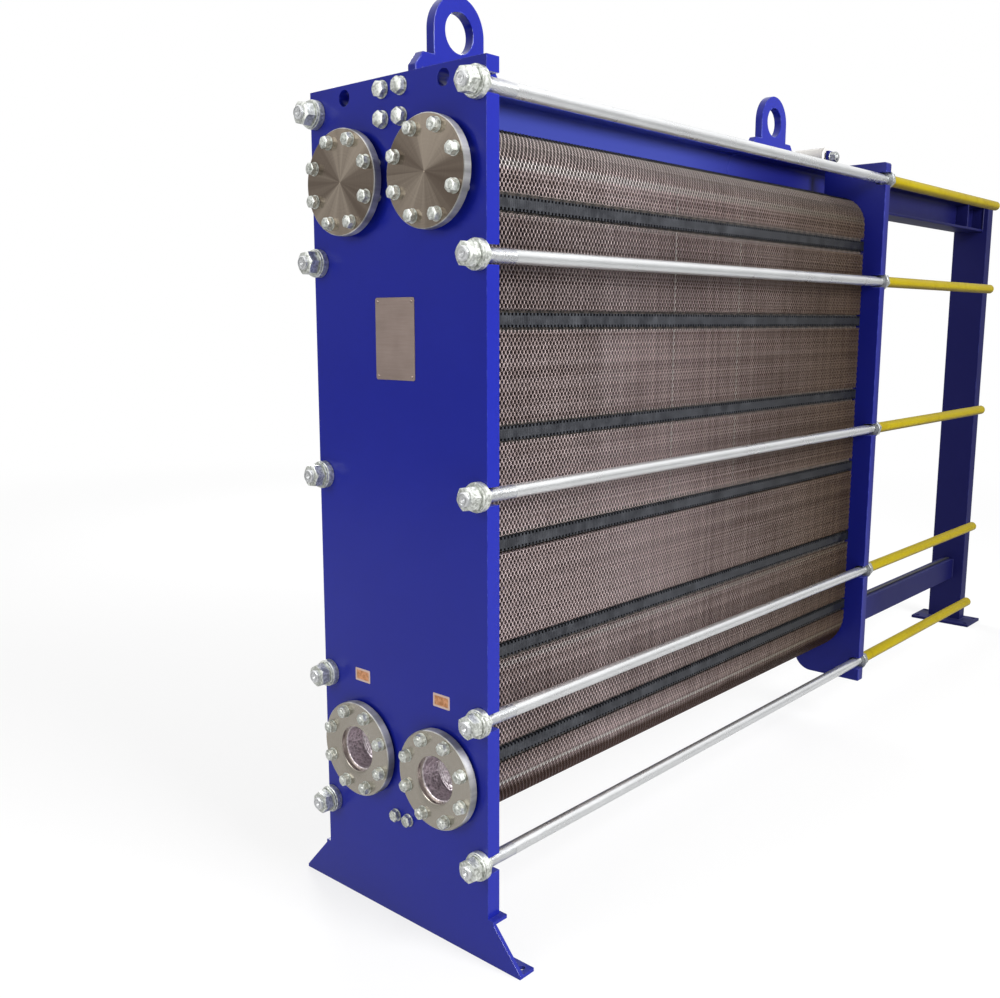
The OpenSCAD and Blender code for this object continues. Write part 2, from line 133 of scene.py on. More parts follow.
# %% Networks
class Network:
    """A node tree with short ways to add nodes and wires."""

    def __init__(self, tree):
        self.tree = tree
        tree.nodes.clear()

    def add(self, kind, settings=None, inputs=None, output=0):
        node = self.tree.nodes.new("ShaderNode" + kind)
        for name, value in (settings or {}).items():
            setattr(node, name, value)
        for name, value in (inputs or {}).items():
            if isinstance(value, Wire):
                self.tree.links.new(value.socket, node.inputs[name])
            else:
                node.inputs[name].default_value = value
        return Wire(self, node.outputs[output]) if node.outputs else node

    def maths(self, operation, a, b=0.0):
        return self.add("Math", {"operation": operation}, {0: a, 1: b})

    def vector(self, operation, a, b=(0.0, 0.0, 0.0), output=0, **others):
        return self.add("VectorMath", {"operation": operation}, {0: a, 1: b, **others}, output)

    def part(self, axis, wire):
        return self.add("SeparateXYZ", {}, {0: wire}, output=axis)

    def fade(self, wire, low, high):
        """Climbs softly from 0 at low to 1 at high."""
        return self.add("MapRange", {"interpolation_type": "SMOOTHSTEP"},
                        {"Value": wire, "From Min": low, "From Max": high})

    def beside(self, wire, centre, low, high):
        """The same climb by the distance from a centre."""
        return self.fade(self.maths("ABSOLUTE", wire - centre), low, high)

    def blend(self, a, b, factor, kind="MIX"):
        """Colour a turned towards colour b."""
        a, b = [(*c, 1.0) if isinstance(c, tuple) else c for c in (a, b)]
        return self.add("Mix", {"data_type": "RGBA", "blend_type": kind}, {0: factor, 6: a, 7: b}, output=2)

    def tinted(self, a, b, factor):
        """Colour a seen through a glass of colour b."""
        return self.blend(a, b, factor, "MULTIPLY")

    def either(self, a, b, factor):
        return self.add("MixShader", {}, {0: factor, 1: a, 2: b})

    def ray(self, kind):
        return self.add("LightPath", output=f"Is {kind} Ray")


print("a network adds nodes to a tree and wires them")


# %% Finishes
class Finish(Network):
    """A material with one Principled shader and the nodes that feed it."""

    def __init__(self, name, **fixed):
        self.material = bpy.data.materials.new(name)
        self.material.use_nodes = True
        super().__init__(self.material.node_tree)
        plain = {key.replace("_", " "): value for key, value in fixed.items()}
        self.shader = self.add("BsdfPrincipled", {}, plain)
        self.end = self.add("OutputMaterial", {}, {"Surface": self.shader})
        self.place = self.add("TexCoord", output="Object")
        self.across, self.along, self.height = [self.part(axis, self.place) for axis in range(3)]

    def feed(self, **inputs):
        """Wires what varies to the shader and hands over the material."""
        for name, wire in inputs.items():
            self.tree.links.new(wire.socket, self.shader.socket.node.inputs[name.replace("_", " ")])
        return self.material

    def stretched(self, scale):
        return self.add("Mapping", {}, {"Vector": self.place, "Scale": scale})

    def noise(self, scale, detail=3.0, roughness=0.5, at=None):
        return self.add("TexNoise", {}, {"Vector": at or self.place, "Scale": scale,
                                         "Detail": detail, "Roughness": roughness})

    def line_noise(self, wire, scale, detail=3.0):
        return self.add("TexNoise", {"noise_dimensions": "1D"}, {"W": wire, "Scale": scale, "Detail": detail})

    def relief(self, height_mm, strength=1.0):
        """A bump from a height in millimetres."""
        return self.add("Bump", {}, {"Height": height_mm, "Distance": MM, "Strength": strength})

    def facing_up(self, low, high):
        """Climbs as the surface turns upwards; 1 is level."""
        return self.fade(self.part(2, self.add("NewGeometry", output="Normal")), low, high)


print("a finish is a Principled shader and the nodes that feed it")

# %% [markdown]
# ## Gloss enamel
#
# The frame is sprayed with a deep blue gloss enamel. Sprayed paint is never flat: it has a faint
# orange peel, long soft waves where the plate under it isn't true, thinner paint on sharp edges,
# and dust on whatever faces up. The eased edges are painted a lighter blue, partly as paint thinned
# by wear and partly as a painted highlight. The machine's far end stands in the shade of its hall,
# and that shade is painted: the paint grows darker and rougher towards the column, and the front
# of the beam is painted lighter, as painted light. Four materials could be made by hand.
# One function with a few numbers makes them all, so that they stay one paint.

# %% Blue enamel
SHADE_AT_COLUMN = 0.92


def sprayed(name, ior, share, start=1.74, stop=1.86, painted_light=0.0):
    """Blue enamel, darker and rougher by painted shade from start to stop, in metres, most at the column."""
    paint = Finish(name, IOR=ior)
    deep = paint.blend((0.006, 0.010, 0.222), (0.010, 0.018, 0.282), paint.noise(2.2, 4.0))
    # painted light: a lighter tint on the front part of the beam
    deep = paint.blend(deep, (0.045, 0.060, 0.270), painted_light * paint.fade(paint.along, 1.6, 0.9))
    # painted shade: darker and rougher towards the column
    painted_shade_and_dull = (paint.fade(paint.along, start, stop) * share
              + paint.fade(paint.along, 1.95, 2.6) * (SHADE_AT_COLUMN - share))
    deep = paint.blend(deep, (0.006, 0.006, 0.042), painted_shade_and_dull)
    # eased edges painted lighter: partly paint thinned by wear, partly a painted highlight
    wear_and_highlight = paint.add("Attribute", {"attribute_name": "wear_and_highlight_mark"}, output="Fac")
    wear_and_highlight = wear_and_highlight * paint.fade(paint.noise(38.0, 5.0, 0.7), 0.45, 0.62) * (1 - painted_shade_and_dull * 0.8)
    blue = paint.blend(deep, (0.10, 0.13, 0.50), wear_and_highlight * 0.5)
    dust = paint.facing_up(0.6, 0.95) * paint.fade(paint.noise(9.0, 6.0, 0.65), 0.25, 0.8)
    blue = paint.blend(blue, (0.12, 0.13, 0.24), dust * 0.45 * (1 - painted_shade_and_dull * 0.7))
    gloss = 0.13 + 0.09 * paint.noise(14.0, 5.0) + 0.35 * dust + 0.3 * painted_shade_and_dull
    peel = paint.noise(260.0, 2.0) * 0.020 + paint.noise(5.0, 1.0) * 1.2
    return paint.feed(Base_Color=blue, Roughness=gloss, Normal=paint.relief(peel, 0.3))


# lit and shaded copies of one paint: the shade on the pressure plate, the rear frame and the beam is painted
blue_enamel = sprayed("blue_enamel", 1.37, 0.35)
press_enamel = sprayed("press_enamel", 1.28, 0.75)
rear_enamel = sprayed("rear_enamel", 1.20, 0.35)
beam_enamel = sprayed("beam_enamel", 1.20, 0.65, start=1.0, stop=1.6, painted_light=0.75)
print("enamel nodes:", len(blue_enamel.node_tree.nodes))

# %% [markdown]
# ## Putting pieces away
#
# Every new piece ends in the same way, so one helper does it: `put_away` merges doubled vertices,
# turns the faces outwards, shades them smooth up to a chosen angle and hides the CAD parts that
# the piece stands for. Every piece rides on the one body, because nothing moves in use.

# %% Putting a finished piece in the scene
added = {}


def put_away(name, bm, finish, stands_for=(), sharp=32.0, turn_out=True):
    """Makes an object of bm, with its edges sharp above an angle in degrees."""
    bmesh.ops.remove_doubles(bm, verts=bm.verts, dist=1e-6)
    if turn_out:
        bmesh.ops.recalc_face_normals(bm, faces=bm.faces)
    mesh = bpy.data.meshes.new(name)
    bm.to_mesh(mesh)
    bm.free()
    mesh.materials.append(finish)
    mesh.polygons.foreach_set("use_smooth", [True] * len(mesh.polygons))
    mesh.set_sharp_from_angle(angle=math.radians(sharp))
    piece = placed(name, mesh)
    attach(piece, "root")
    if stands_for:
        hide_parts(*stands_for)
    added[name] = sum(len(p.vertices) - 2 for p in mesh.polygons)
    print(f"{name}: {added[name]} triangles")
    return piece


print(len(nodes), "CAD parts wait for their pieces")


# %% [markdown]
# ## Eased plates
#
# Flame-cut plates have their corners ground off before painting, and that small rounded edge is
# what catches the light. A Bevel modifier could round it, but couldn't mark what it rounds. So a
# copy of the CAD mesh is merged, its flat faces are joined again, and the bevel operator rounds
# every edge that turns a corner. Its new faces carry an attribute that marks them, so that the
# paint there can look thinner and lighter: partly wear, partly a painted highlight. Edges at a
# `welded` height are left alone: there two parts are joined and ground flush. A Weighted Normal
# modifier keeps the big faces flat.

# %% Easing a copy of a CAD part
CORNER = 35


def rounded(bm, geom, offset, segments, affect="EDGES", **more):
    """Bevels edges, or corner points, to a round."""
    return bmesh.ops.bevel(bm, geom=geom, offset=offset, offset_type="OFFSET", segments=segments,
                           profile=0.5, affect=affect, material=-1, **more)


def eased(name, radius_mm, finish=blue_enamel, welded=()):
    """Puts a rounded copy in place of a CAD part."""
    bm = bmesh.new()
    bm.from_mesh(nodes[name].data)
    bmesh.ops.remove_doubles(bm, verts=bm.verts, dist=1e-5)
    bmesh.ops.dissolve_limit(bm, angle_limit=math.radians(1.0), verts=bm.verts, edges=bm.edges)
    corners = [e for e in bm.edges
               if len(e.link_faces) == 2 and e.calc_face_angle() > math.radians(CORNER)
               and not any(all(abs(v.co.z - z) < MM / 10 for v in e.verts) for z in welded)]
    # marks the eased edges, which the enamel paints lighter: partly wear, partly a painted highlight
    wear_and_highlight_mark = bm.loops.layers.float.new("wear_and_highlight_mark")
    made = rounded(bm, corners, radius_mm * MM, 2, clamp_overlap=True)
    for face in made["faces"]:
        for loop in face.loops:
            loop[wear_and_highlight_mark] = 1.0
    piece = put_away(name + "_eased", bm, finish, [name])
    piece.modifiers.new("flat_faces", "WEIGHTED_NORMAL").keep_sharp = True


print("edges that turn more than", CORNER, "degrees are rounded")

# %% Plates, foot, column and brackets
cap_low, cap_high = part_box("foot_cap")
web_low, web_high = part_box("foot_web")
foot_joints = (cap_high.z, cap_low.z, web_low.z)
for name, radius, finish in (
        ("fixed_plate", 1.5, blue_enamel), ("pressure_plate", 1.5, press_enamel),
        ("foot_cap", 1.0, blue_enamel), ("foot_web", 1.0, blue_enamel), ("foot_sole", 1.2, blue_enamel),
        ("column_base", 1.2, rear_enamel), ("beam_stiffeners", 1.0, rear_enamel),
        ("beam_end_pads", 1.5, rear_enamel), ("support_column", 1.5, rear_enamel),
        ("lifting_lug_front", 2.0, blue_enamel), ("lifting_lug_rear", 2.0, blue_enamel),
        ("roller_brackets", 1.5, press_enamel), ("guide_bar", 1.5, rear_enamel)):
    eased(name, radius, finish=finish, welded=foot_joints)

# %% [markdown]
# ## Plate steel
#
# Only the cut edges of the plates show. The press works some heights harder than others, so the
# edges run in paler and darker rows, and a few narrow rows carry painted glints. The shoulders
# under the beam are smooth and grey, with a painted shadow line under the beam's flange where the
# hooks begin. The bottom arc near the floor is brown, a stain with painted shade where it faces
# down. Two plates stand out pale, and the far end has painted shade. An image could be wrapped
# over the pack, but sums on height and length stay sharp at any distance, and each row can be
# moved by one number.

# %% Rows of the plate steel
pack_low, pack_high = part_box("plate_pack")
beam_low, beam_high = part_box("carrying_beam")
PLATES = 310
pitch = (pack_high.y - pack_low.y) / PLATES
pack_top = beam_low.z + 11 * MM
steel = Finish("plate_steel", Metallic=0.75, IOR=1.6)
along, height, fade, blend = steel.along, steel.height, steel.fade, steel.blend
number = steel.maths("FLOOR", (along - pack_low.y) * (1 / pitch))
own = steel.add("TexWhiteNoise", {"noise_dimensions": "1D"}, {"W": number})
rows = 0.5 * steel.line_noise(height, 42.0, 2.0) + 0.5 * steel.line_noise(height, 170.0, 2.0)
tint = steel.noise(3.0, 5.0, 0.65) * 0.35 + own * 0.10 + rows * 0.55
bare = blend((0.345, 0.253, 0.236), (0.97, 0.805, 0.795), fade(tint, 0.28, 0.72))
high_row = steel.beside(height, 1.48, 0.12, 0.08) * fade(along, 1.4, 0.7)
bare = steel.tinted(bare, (0.78, 0.78, 0.78), high_row)
low_rows = fade(height, 1.12, 1.02) * fade(height, 0.60, 0.70) * fade(along, 1.2, 0.5)
bare = blend(bare, (0.97, 0.80, 0.80), low_rows * 0.45)
crown = fade(height, pack_top - 86 * MM, pack_top - 30 * MM)
bare = blend(bare, (0.47, 0.435, 0.405), crown * 0.6)
# painted glints: narrow pale rows where the edges would catch the light
for level, reach, strength in ((pack_low.z + 103 * MM, 6 * MM, 1.0), (pack_top - 80 * MM, 14 * MM, 0.6),
                               (pack_low.z + 376 * MM, 8 * MM, 0.5), (pack_low.z + 418 * MM, 8 * MM, 0.55)):
    bare = blend(bare, (0.96, 0.92, 0.89), steel.beside(height, level, reach, 0.3 * reach) * strength)
print("plate pitch", round(pitch / MM, 2), "mm")

# %% Belly, pale plates and shade
# brown stain on the bottom arc, with painted shade where it faces down
stain_and_shade_low = fade(height + 0.02 * steel.noise(9.0, 4.0), pack_low.z + 86 * MM, pack_low.z + 112 * MM)
bare = blend((0.150, 0.088, 0.072), bare, stain_and_shade_low)
length = fade(height, 0.7, 1.1) * fade(height, pack_top - 80 * MM, pack_top - 125 * MM)
PALE_PLATES = (123, 177)
for plate in PALE_PLATES:
    bare = blend(bare, (0.96, 0.93, 0.90), steel.beside(number, plate, 0.8, 0.2) * length * 0.8)
# painted shadow: a near-black line under the beam's flange, where the hooks begin
painted_shadow_line = steel.beside(height, pack_top - 8 * MM, 4 * MM, 7 * MM)
bare = blend((0.012, 0.011, 0.014), bare, painted_shadow_line)
shade = fade(along, 0.4, 1.8) * (1 - 0.25 * crown)
bare = steel.tinted(bare, (0.36, 0.31, 0.228), shade)
# painted shade in the cells: the plates' walls darken with depth
inside = steel.add("Attribute", {"attribute_name": "inside"}, output="Fac")
shown = blend(bare, (0.022, 0.018, 0.017), fade(inside, 0.10, 0.75))
pack_rim = steel.feed(Base_Color=shown, Roughness=0.32 + 0.2 * steel.noise(60.0, 3.0))
print("plate steel nodes:", len(pack_rim.node_tree.nodes))

# %% [markdown]
# ## The plates' wavy rims
#
# From the side the pack looks like a honeycomb. Each plate is pressed into waves, and the waves of
# two neighbours run against each other, so their rims touch at every crest and leave small open
# cells between. Only the outer strip of each plate can be seen, so only that strip is made: half
# of one outline, bent to and fro, as a bright cut edge with the sheet's wall behind it. It is
# mirrored for the other side, and an Array modifier repeats the pair along the tie bolts. The
# press works the sheet less in some rows than in others, so the cells open and close with height.

# %% One plate's outline
WAVE, STEPS = 17.2 * MM, 12
TOP_R, BOTTOM_R = 95 * MM, 136 * MM
HOOK_GAP, NOTCH = 58 * MM, 30 * MM
middle_z = (pack_top + pack_low.z) / 2
half_pack = pack_high.x


def rounded_outline(bm, inset, step):
    """Leaves one plate's outline in bm as a face, moved inwards by inset."""
    bmesh.ops.create_grid(bm, x_segments=1, y_segments=1, size=1.0)
    for v in bm.verts:
        v.co = (math.copysign(half_pack - inset, v.co.x), 0.0,
                pack_top - inset if v.co.y > 0 else pack_low.z + inset)
    for upper, radius in ((True, TOP_R), (False, BOTTOM_R)):
        ends = [v for v in bm.verts if (v.co.z > middle_z) == upper]
        around = max(4, round((radius - inset) * math.pi / 2 / step))
        rounded(bm, ends, radius - inset, around, "VERTICES")


print("plate", round((pack_top - pack_low.z) / MM), "mm tall and", round(2 * half_pack / MM), "mm wide")


# %% The path of a rim
def rim_path():
    """Places and inward directions down the right half of one plate, a twelfth of a wave apart."""
    one = bmesh.new()
    rounded_outline(one, 0.0, WAVE / 2)
    bmesh.ops.delete(one, geom=one.faces[:], context="FACES_ONLY")
    for upper, gap in ((True, HOOK_GAP), (False, NOTCH)):
        part = [g for g in one.verts[:] + one.edges[:]
                if all((v.co.z > middle_z) == upper for v in getattr(g, "verts", [g]))]
        bmesh.ops.bisect_plane(one, geom=part, plane_co=(gap, 0, 0), plane_no=(1, 0, 0),
                               clear_inner=True)
    bmesh.ops.delete(one, geom=[v for v in one.verts if v.co.x < 0], context="VERTS")
    for edge in one.edges[:]:
        cuts = max(1, round(edge.calc_length() / (WAVE / STEPS))) - 1
        bmesh.ops.subdivide_edges(one, edges=[edge], cuts=cuts)
    ends = [v for v in one.verts if len(v.link_edges) == 1]
    chain = [max(ends, key=lambda v: v.co.z)]
    edge = None
    while len(chain) < len(one.verts):
        edge = [e for e in chain[-1].link_edges if e is not edge][0]
        chain.append(edge.other_vert(chain[-1]))
    path = []
    for i, v in enumerate(chain):
        ahead = chain[min(i + 1, len(chain) - 1)].co - chain[max(i - 1, 0)].co
        path.append((v.co.copy(), Vector((ahead.z, 0.0, -ahead.x)).normalized()))
    one.free()
    return path


path = rim_path()
print(len(path), "steps down one side of a plate")


# %% One bent rim
band_low, band_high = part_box("gasket_bands")
BANDS, BAND_H = 6, 31 * MM
band_step = (band_high.z - band_low.z - BAND_H) / (BANDS - 1)
band_levels = [band_low.z + BAND_H / 2 + i * band_step for i in range(BANDS)]
SHEET = 1.25 * MM
SWING = (pitch - SHEET) / 2
ROW = 48 * MM
RIM_DEPTH, CLEAR = 11 * MM, 2.5 * MM
HALF_WAVE = STEPS // 2


def points(geom):
    """The vertices among what an operator made."""
    return [g for g in geom if isinstance(g, bmesh.types.BMVert)]


def bent_rim(bm, y, phase):
    """Adds one plate's cut edge, and the wall behind it, with the waves starting to one side."""
    inward, inside = bm.verts.layers.float_vector["inward"], bm.verts.layers.float["inside"]
    # the cut edge takes two steps of each half wave, and the wall behind it one
    for wanted, deep in (((2, 4), False), ((0,), True)):
        line, last = [], None
        for k, (place, direction) in enumerate(path):
            if k % HALF_WAVE not in wanted:
                continue
            if any(abs(place.z - z) < BAND_H / 2 + CLEAR for z in band_levels):
                last = None
                continue
            side = 1 if ((k + HALF_WAVE // 2) // HALF_WAVE + phase) % 2 else -1
            swing = side * SWING * (0.86 + 0.14 * math.cos(2 * math.pi * place.z / ROW))
            v = bm.verts.new(place + Vector((0.0, y + swing - (0 if deep else SHEET / 2), 0.0)))
            v[inward] = direction
            if last:
                line.append(bm.edges.new((last, v)))
            last = v
        # the wall's depth, which the plate steel finish paints as shade in the cells
        for v in points(bmesh.ops.extrude_edge_only(bm, edges=line)["geom"]):
            v.co += v[inward] * RIM_DEPTH if deep else Vector((0.0, SHEET, 0.0))
            v[inside] = float(deep)


print("six bands,", round(band_step / MM), "mm apart, interrupt each rim")


# %% The pack in five lengths
def repeat_along(piece, count):
    """Repeats a piece for two plates along the whole of its length."""
    repeat = piece.modifiers.new("repeat", "ARRAY")
    repeat.use_relative_offset = False
    repeat.use_constant_offset = True
    repeat.constant_offset_displace = (0.0, 2 * pitch, 0.0)
    repeat.count = count
    added[piece.name] *= count


BLOCKS = 5
pairs = PLATES // 2 // BLOCKS
for block in range(BLOCKS):
    bm = bmesh.new()
    bm.verts.layers.float_vector.new("inward")
    bm.verts.layers.float.new("inside")
    start_y = pack_low.y + block * pairs * 2 * pitch
    bent_rim(bm, start_y + pitch / 2, 0)
    bent_rim(bm, start_y + pitch * 1.5, 1)
    bm.verts.layers.float_vector.remove(bm.verts.layers.float_vector["inward"])
    bmesh.ops.mirror(bm, geom=bm.verts[:] + bm.edges[:] + bm.faces[:], merge_dist=-1.0, axis="X")
    bm.normal_update()
    for face in bm.faces:
        out = face.calc_center_median() - Vector((0, 0, middle_z))
        if face.normal.x * out.x + face.normal.z * out.z < 0:
            face.normal_flip()
    rims = put_away(f"plate_rims_{block + 1}", bm, pack_rim, sharp=60.0, turn_out=False)
    repeat_along(rims, pairs)
print("rims:", sum(v for k, v in added.items() if k.startswith("plate_rims")), "triangles")

# %% [markdown]
# ## The dark heart of the pack
#
# Behind the rims the plates run on for the whole width. Nobody can see in that far, so one body
# stands for them, set back inside the rims, and it is painted near-black as the shade deep between
# the plates. The two lower ports run through its front part: `triangle_fill` closes a flat outline
# that has holes in it, and one extrusion gives it depth.

# %% Dark steel and the ports' places
# painted shade: the heart is near-black, as the shade between the plates
shadow = Finish("pack_heart", Roughness=0.8)
ribs = shadow.add("TexWave", {"bands_direction": "Y"}, {"Vector": shadow.place, "Scale": 0.5 / pitch / 10})
pack_painted_shade = shadow.feed(Base_Color=shadow.blend((0.012, 0.010, 0.009), (0.05, 0.04, 0.034), ribs))
low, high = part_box("blind_flange_right")
port_top_z = (low.z + high.z) / 2
low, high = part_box("open_flange_right")
port_x, port_z = (low.x + high.x) / 2, (low.z + high.z) / 2
outer = (high.x - low.x) / 2
LINER_WALL = 4
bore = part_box("port_liners")[1].x - port_x - LINER_WALL * MM
print("ports at x", round(port_x, 3), "z", round(port_z, 3), round(port_top_z, 3))

# %% The heart's outline
TUNNEL = 50 * pitch
GAP = 11.5 * MM
rail_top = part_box("guide_rail")[1].z


def heart_outline(bm):
    """A rounded plate outline with the notch for the guide bar, as edges only."""
    rounded_outline(bm, GAP, 20 * MM)
    for x in (-NOTCH, NOTCH):
        bmesh.ops.bisect_plane(bm, geom=bm.verts[:] + bm.edges[:] + bm.faces[:],
                               plane_co=(x, 0, 0), plane_no=(1, 0, 0))
    notch = [e for e in bm.edges if max(v.co.z for v in e.verts) < pack_low.z + GAP + MM
             and max(abs(v.co.x) for v in e.verts) < NOTCH + MM]
    raised = list(notch[0].verts)
    bmesh.ops.delete(bm, geom=bm.faces[:], context="FACES_ONLY")
    bmesh.ops.delete(bm, geom=[e for e in bm.edges if not e.link_faces and
                               abs(e.verts[0].co.x - e.verts[1].co.x) < MM / 10 and
                               abs(e.verts[0].co.x) < NOTCH + MM], context="EDGES")
    lifted = bmesh.ops.extrude_vert_indiv(bm, verts=raised)["verts"]
    bmesh.ops.delete(bm, geom=[e for e in bm.edges if set(e.verts) == set(raised)], context="EDGES")
    for v in lifted:
        v.co.z = rail_top + 3 * MM
    bm.edges.new(lifted)


print("the tunnels are", round(TUNNEL / MM), "mm deep")


# %% Heart
def thickened(bm, depth):
    """Extrudes every face of bm backwards."""
    grown = bmesh.ops.extrude_face_region(bm, geom=bm.faces[:], use_keep_orig=True)["geom"]
    bmesh.ops.translate(bm, verts=points(grown), vec=(0, depth, 0))


def tip_in(bm, other):
    """Empties one bmesh into another."""
    carrier = bpy.data.meshes.new("carrier")
    other.to_mesh(carrier)
    other.free()
    bm.from_mesh(carrier)
    bpy.data.meshes.remove(carrier)


bm = bmesh.new()
for y, depth, sides in ((pack_low.y, TUNNEL, (-1, 1)),
                        (pack_low.y + TUNNEL, pack_high.y - pack_low.y - TUNNEL, ())):
    block = bmesh.new()
    heart_outline(block)
    for side in sides:
        at = Matrix.Translation((side * port_x, 0, port_z)) @ Matrix.Rotation(math.pi / 2, 4, "X")
        bmesh.ops.create_circle(block, cap_ends=False, segments=48, radius=bore + LINER_WALL * MM, matrix=at)
    bmesh.ops.triangle_fill(block, use_beauty=True, edges=block.edges[:])
    thickened(block, depth)
    bmesh.ops.translate(block, verts=block.verts, vec=(0, y, 0))
    bmesh.ops.recalc_face_normals(block, faces=block.faces)
    tip_in(bm, block)
put_away("plate_pack_heart", bm, pack_painted_shade, ["plate_pack"], turn_out=False)

# %% [markdown]
# ## Hooks
#
# Every plate hangs by two hooks from the beam's lower flange. Only a row of small teeth shows
# above the pack. Their near-black colour is painted shade under the beam's flange. They could be
# bent from strips, but this small an upright and a lip of six faces each look the same, and they
# are repeated 155 times, like the rims.

# %% Hooks
# painted shade: near-black steel for the shade under the beam's flange
hook = Finish("hook_steel", Metallic=0.6)
black = hook.blend((0.010, 0.011, 0.016), (0.045, 0.045, 0.055), hook.noise(40.0, 4.0))
dark_steel_in_shade = hook.feed(Base_Color=black, Roughness=0.5 + 0.2 * hook.noise(90.0))
FLANGE = 9 * MM
HOOK_X, LIP_X = 65 * MM, 52 * MM
HOOK_W, HOOK_T, LIP_H = 14 * MM, 2.4 * MM, 7 * MM


def bar(bm, centre, size):
    """Adds a plain block, to be a thin strip or to be eased."""
    matrix = Matrix.Translation(centre) @ Matrix.Diagonal((*size, 1))
    bmesh.ops.create_cube(bm, size=1.0, matrix=matrix)


bm = bmesh.new()
for i, tall in enumerate((16 * MM, 10 * MM)):
    y = pack_low.y + (i + 0.5) * pitch
    for side in (-1, 1):
        bar(bm, (side * HOOK_X, y, pack_top - 8 * MM + tall / 2), (HOOK_W, HOOK_T, tall + 12 * MM))
        bar(bm, (side * LIP_X, y, beam_low.z + FLANGE + tall - 4 * MM), (HOOK_W, HOOK_T, LIP_H))
repeat_along(put_away("plate_hooks", bm, dark_steel_in_shade), PLATES // 2)

# %% [markdown]
# ## Gasket bands
#
# At six heights the rubber gaskets reach the edge of the plates as short tabs. Together they make
# the black bands. Twelve long strips would do for the colour, but every other tab is shorter, and
# only single tabs give the bands their combed edges. The rubber is powdery and slate grey in
# front, and black in the shade at the far end.

# %% Rubber
rubber = Finish("gasket_rubber", IOR=1.38)
powder = rubber.fade(rubber.noise(24.0, 6.0, 0.7), 0.3, 0.8)
slate = rubber.blend((0.009, 0.010, 0.014), (0.045, 0.048, 0.056), powder)
slate = rubber.tinted(slate, (0.35, 0.34, 0.32), rubber.fade(rubber.along, 0.6, 1.8))
gasket_slate = rubber.feed(Base_Color=slate, Roughness=0.40 + 0.25 * powder)
TAB, SLIT = 9 * MM, 0.4 * MM
bm = bmesh.new()
for z in band_levels:
    for i, tall in enumerate((BAND_H - 12 * MM, BAND_H - 1 * MM)):
        for side in (-1, 1):
            bar(bm, (side * (half_pack - TAB / 2), pack_low.y + (i + 0.5) * pitch, z),
                (TAB, pitch - SLIT, tall))
repeat_along(put_away("gasket_combs", bm, gasket_slate, ["gasket_bands"]), PLATES // 2)

# %% [markdown]
# ## Turned parts
#
# Bushings, washers, rods, flanges and liners all come off a lathe. A lathe part is one outline
# spun about its axis, which is just what the spin operator does. A nut starts the same way: its
# outer points are then pushed out to a hexagon, and the corners drop back by the 30 degree
# chamfer that real nuts have on both faces.

# %% Lathe and nut
ACROSS = {16: 24, 20: 30, 30: 46}    # a nut's width over its flats by its thread, in mm


def turned(bm, outline, x, z, steps=24, start=0.0, closed=False):
    """Spins an outline of (radius, y) in millimetres about a line along Y through x, z."""
    before = len(bm.verts)
    spun = [bm.verts.new((x + r * MM * math.cos(start), y * MM, z + r * MM * math.sin(start)))
            for r, y in outline]
    line = [bm.edges.new(pair) for pair in zip(spun, spun[1:])]
    if closed:
        line.append(bm.edges.new((spun[-1], spun[0])))
    bmesh.ops.spin(bm, geom=spun + line, cent=(x, 0.0, z), axis=(0.0, 1.0, 0.0),
                   angle=2 * math.pi, steps=steps, use_merge=True)
    bm.verts.ensure_lookup_table()
    return bm.verts[before:]


def hexagon(bm, x, z, front, back, thread, hole, start):
    """A six-sided nut between y = front and back; a head where hole is 0."""
    half, face = ACROSS[thread] / 2, ACROSS[thread] * 0.475    # the chamfer takes 5 percent
    corner = half / math.cos(math.pi / 6)
    outline = [(hole, front), (face, front), (corner, front), (corner, back), (face, back), (hole, back)]
    for v in turned(bm, outline, x, z, 24, start, closed=hole > 0):
        dx, dz = v.co.x - x, v.co.z - z
        r = math.hypot(dx, dz)
        if r < face * MM * 1.001:
            continue
        turn = (math.atan2(dz, dx) - start) % (math.pi / 3)
        reach = half * MM / math.cos(turn - math.pi / 6)
        drop = (reach - face * MM) * math.tan(math.pi / 6)
        v.co.y += drop if abs(v.co.y - front * MM) < 1e-6 else -drop
        v.co.x, v.co.z = x + dx / r * reach, z + dz / r * reach


def ring(bm, x, z, front, back, outer, hole, ease=0.6):
    """A washer with eased outer edges."""
    turned(bm, [(hole, front), (outer - ease, front), (outer, front + ease), (outer, back - ease),
                (outer - ease, back), (hole, back)], x, z, 32, closed=True)


print("lathe ready for parts along Y")

# %% [markdown]
# ## Zinc and bright bar
#
# Nuts, washers and bushings are zinc plated, which leaves faint pale and grey crystals: cells of a
# Voronoi texture, softened by noise. The bolts are drawn through a die, so their streaks run
# lengthways: one noise, squeezed by a Mapping node. The rear nuts sit in shade, and that shade is
# painted: their colour turns darker towards the far end.

# %% Zinc and bright bar
zinc = Finish("zinc_plate", Metallic=0.8)
spangle = zinc.add("TexVoronoi", {}, {"Vector": zinc.place, "Scale": 230.0}, output=1)
patch = zinc.noise(45.0, 4.0, 0.6)
grain = zinc.part(0, spangle) * 0.35 + patch * 0.65
zinc_tone_and_shade = zinc.blend((0.37, 0.385, 0.35), (0.79, 0.81, 0.77), zinc.fade(grain, 0.25, 0.72))
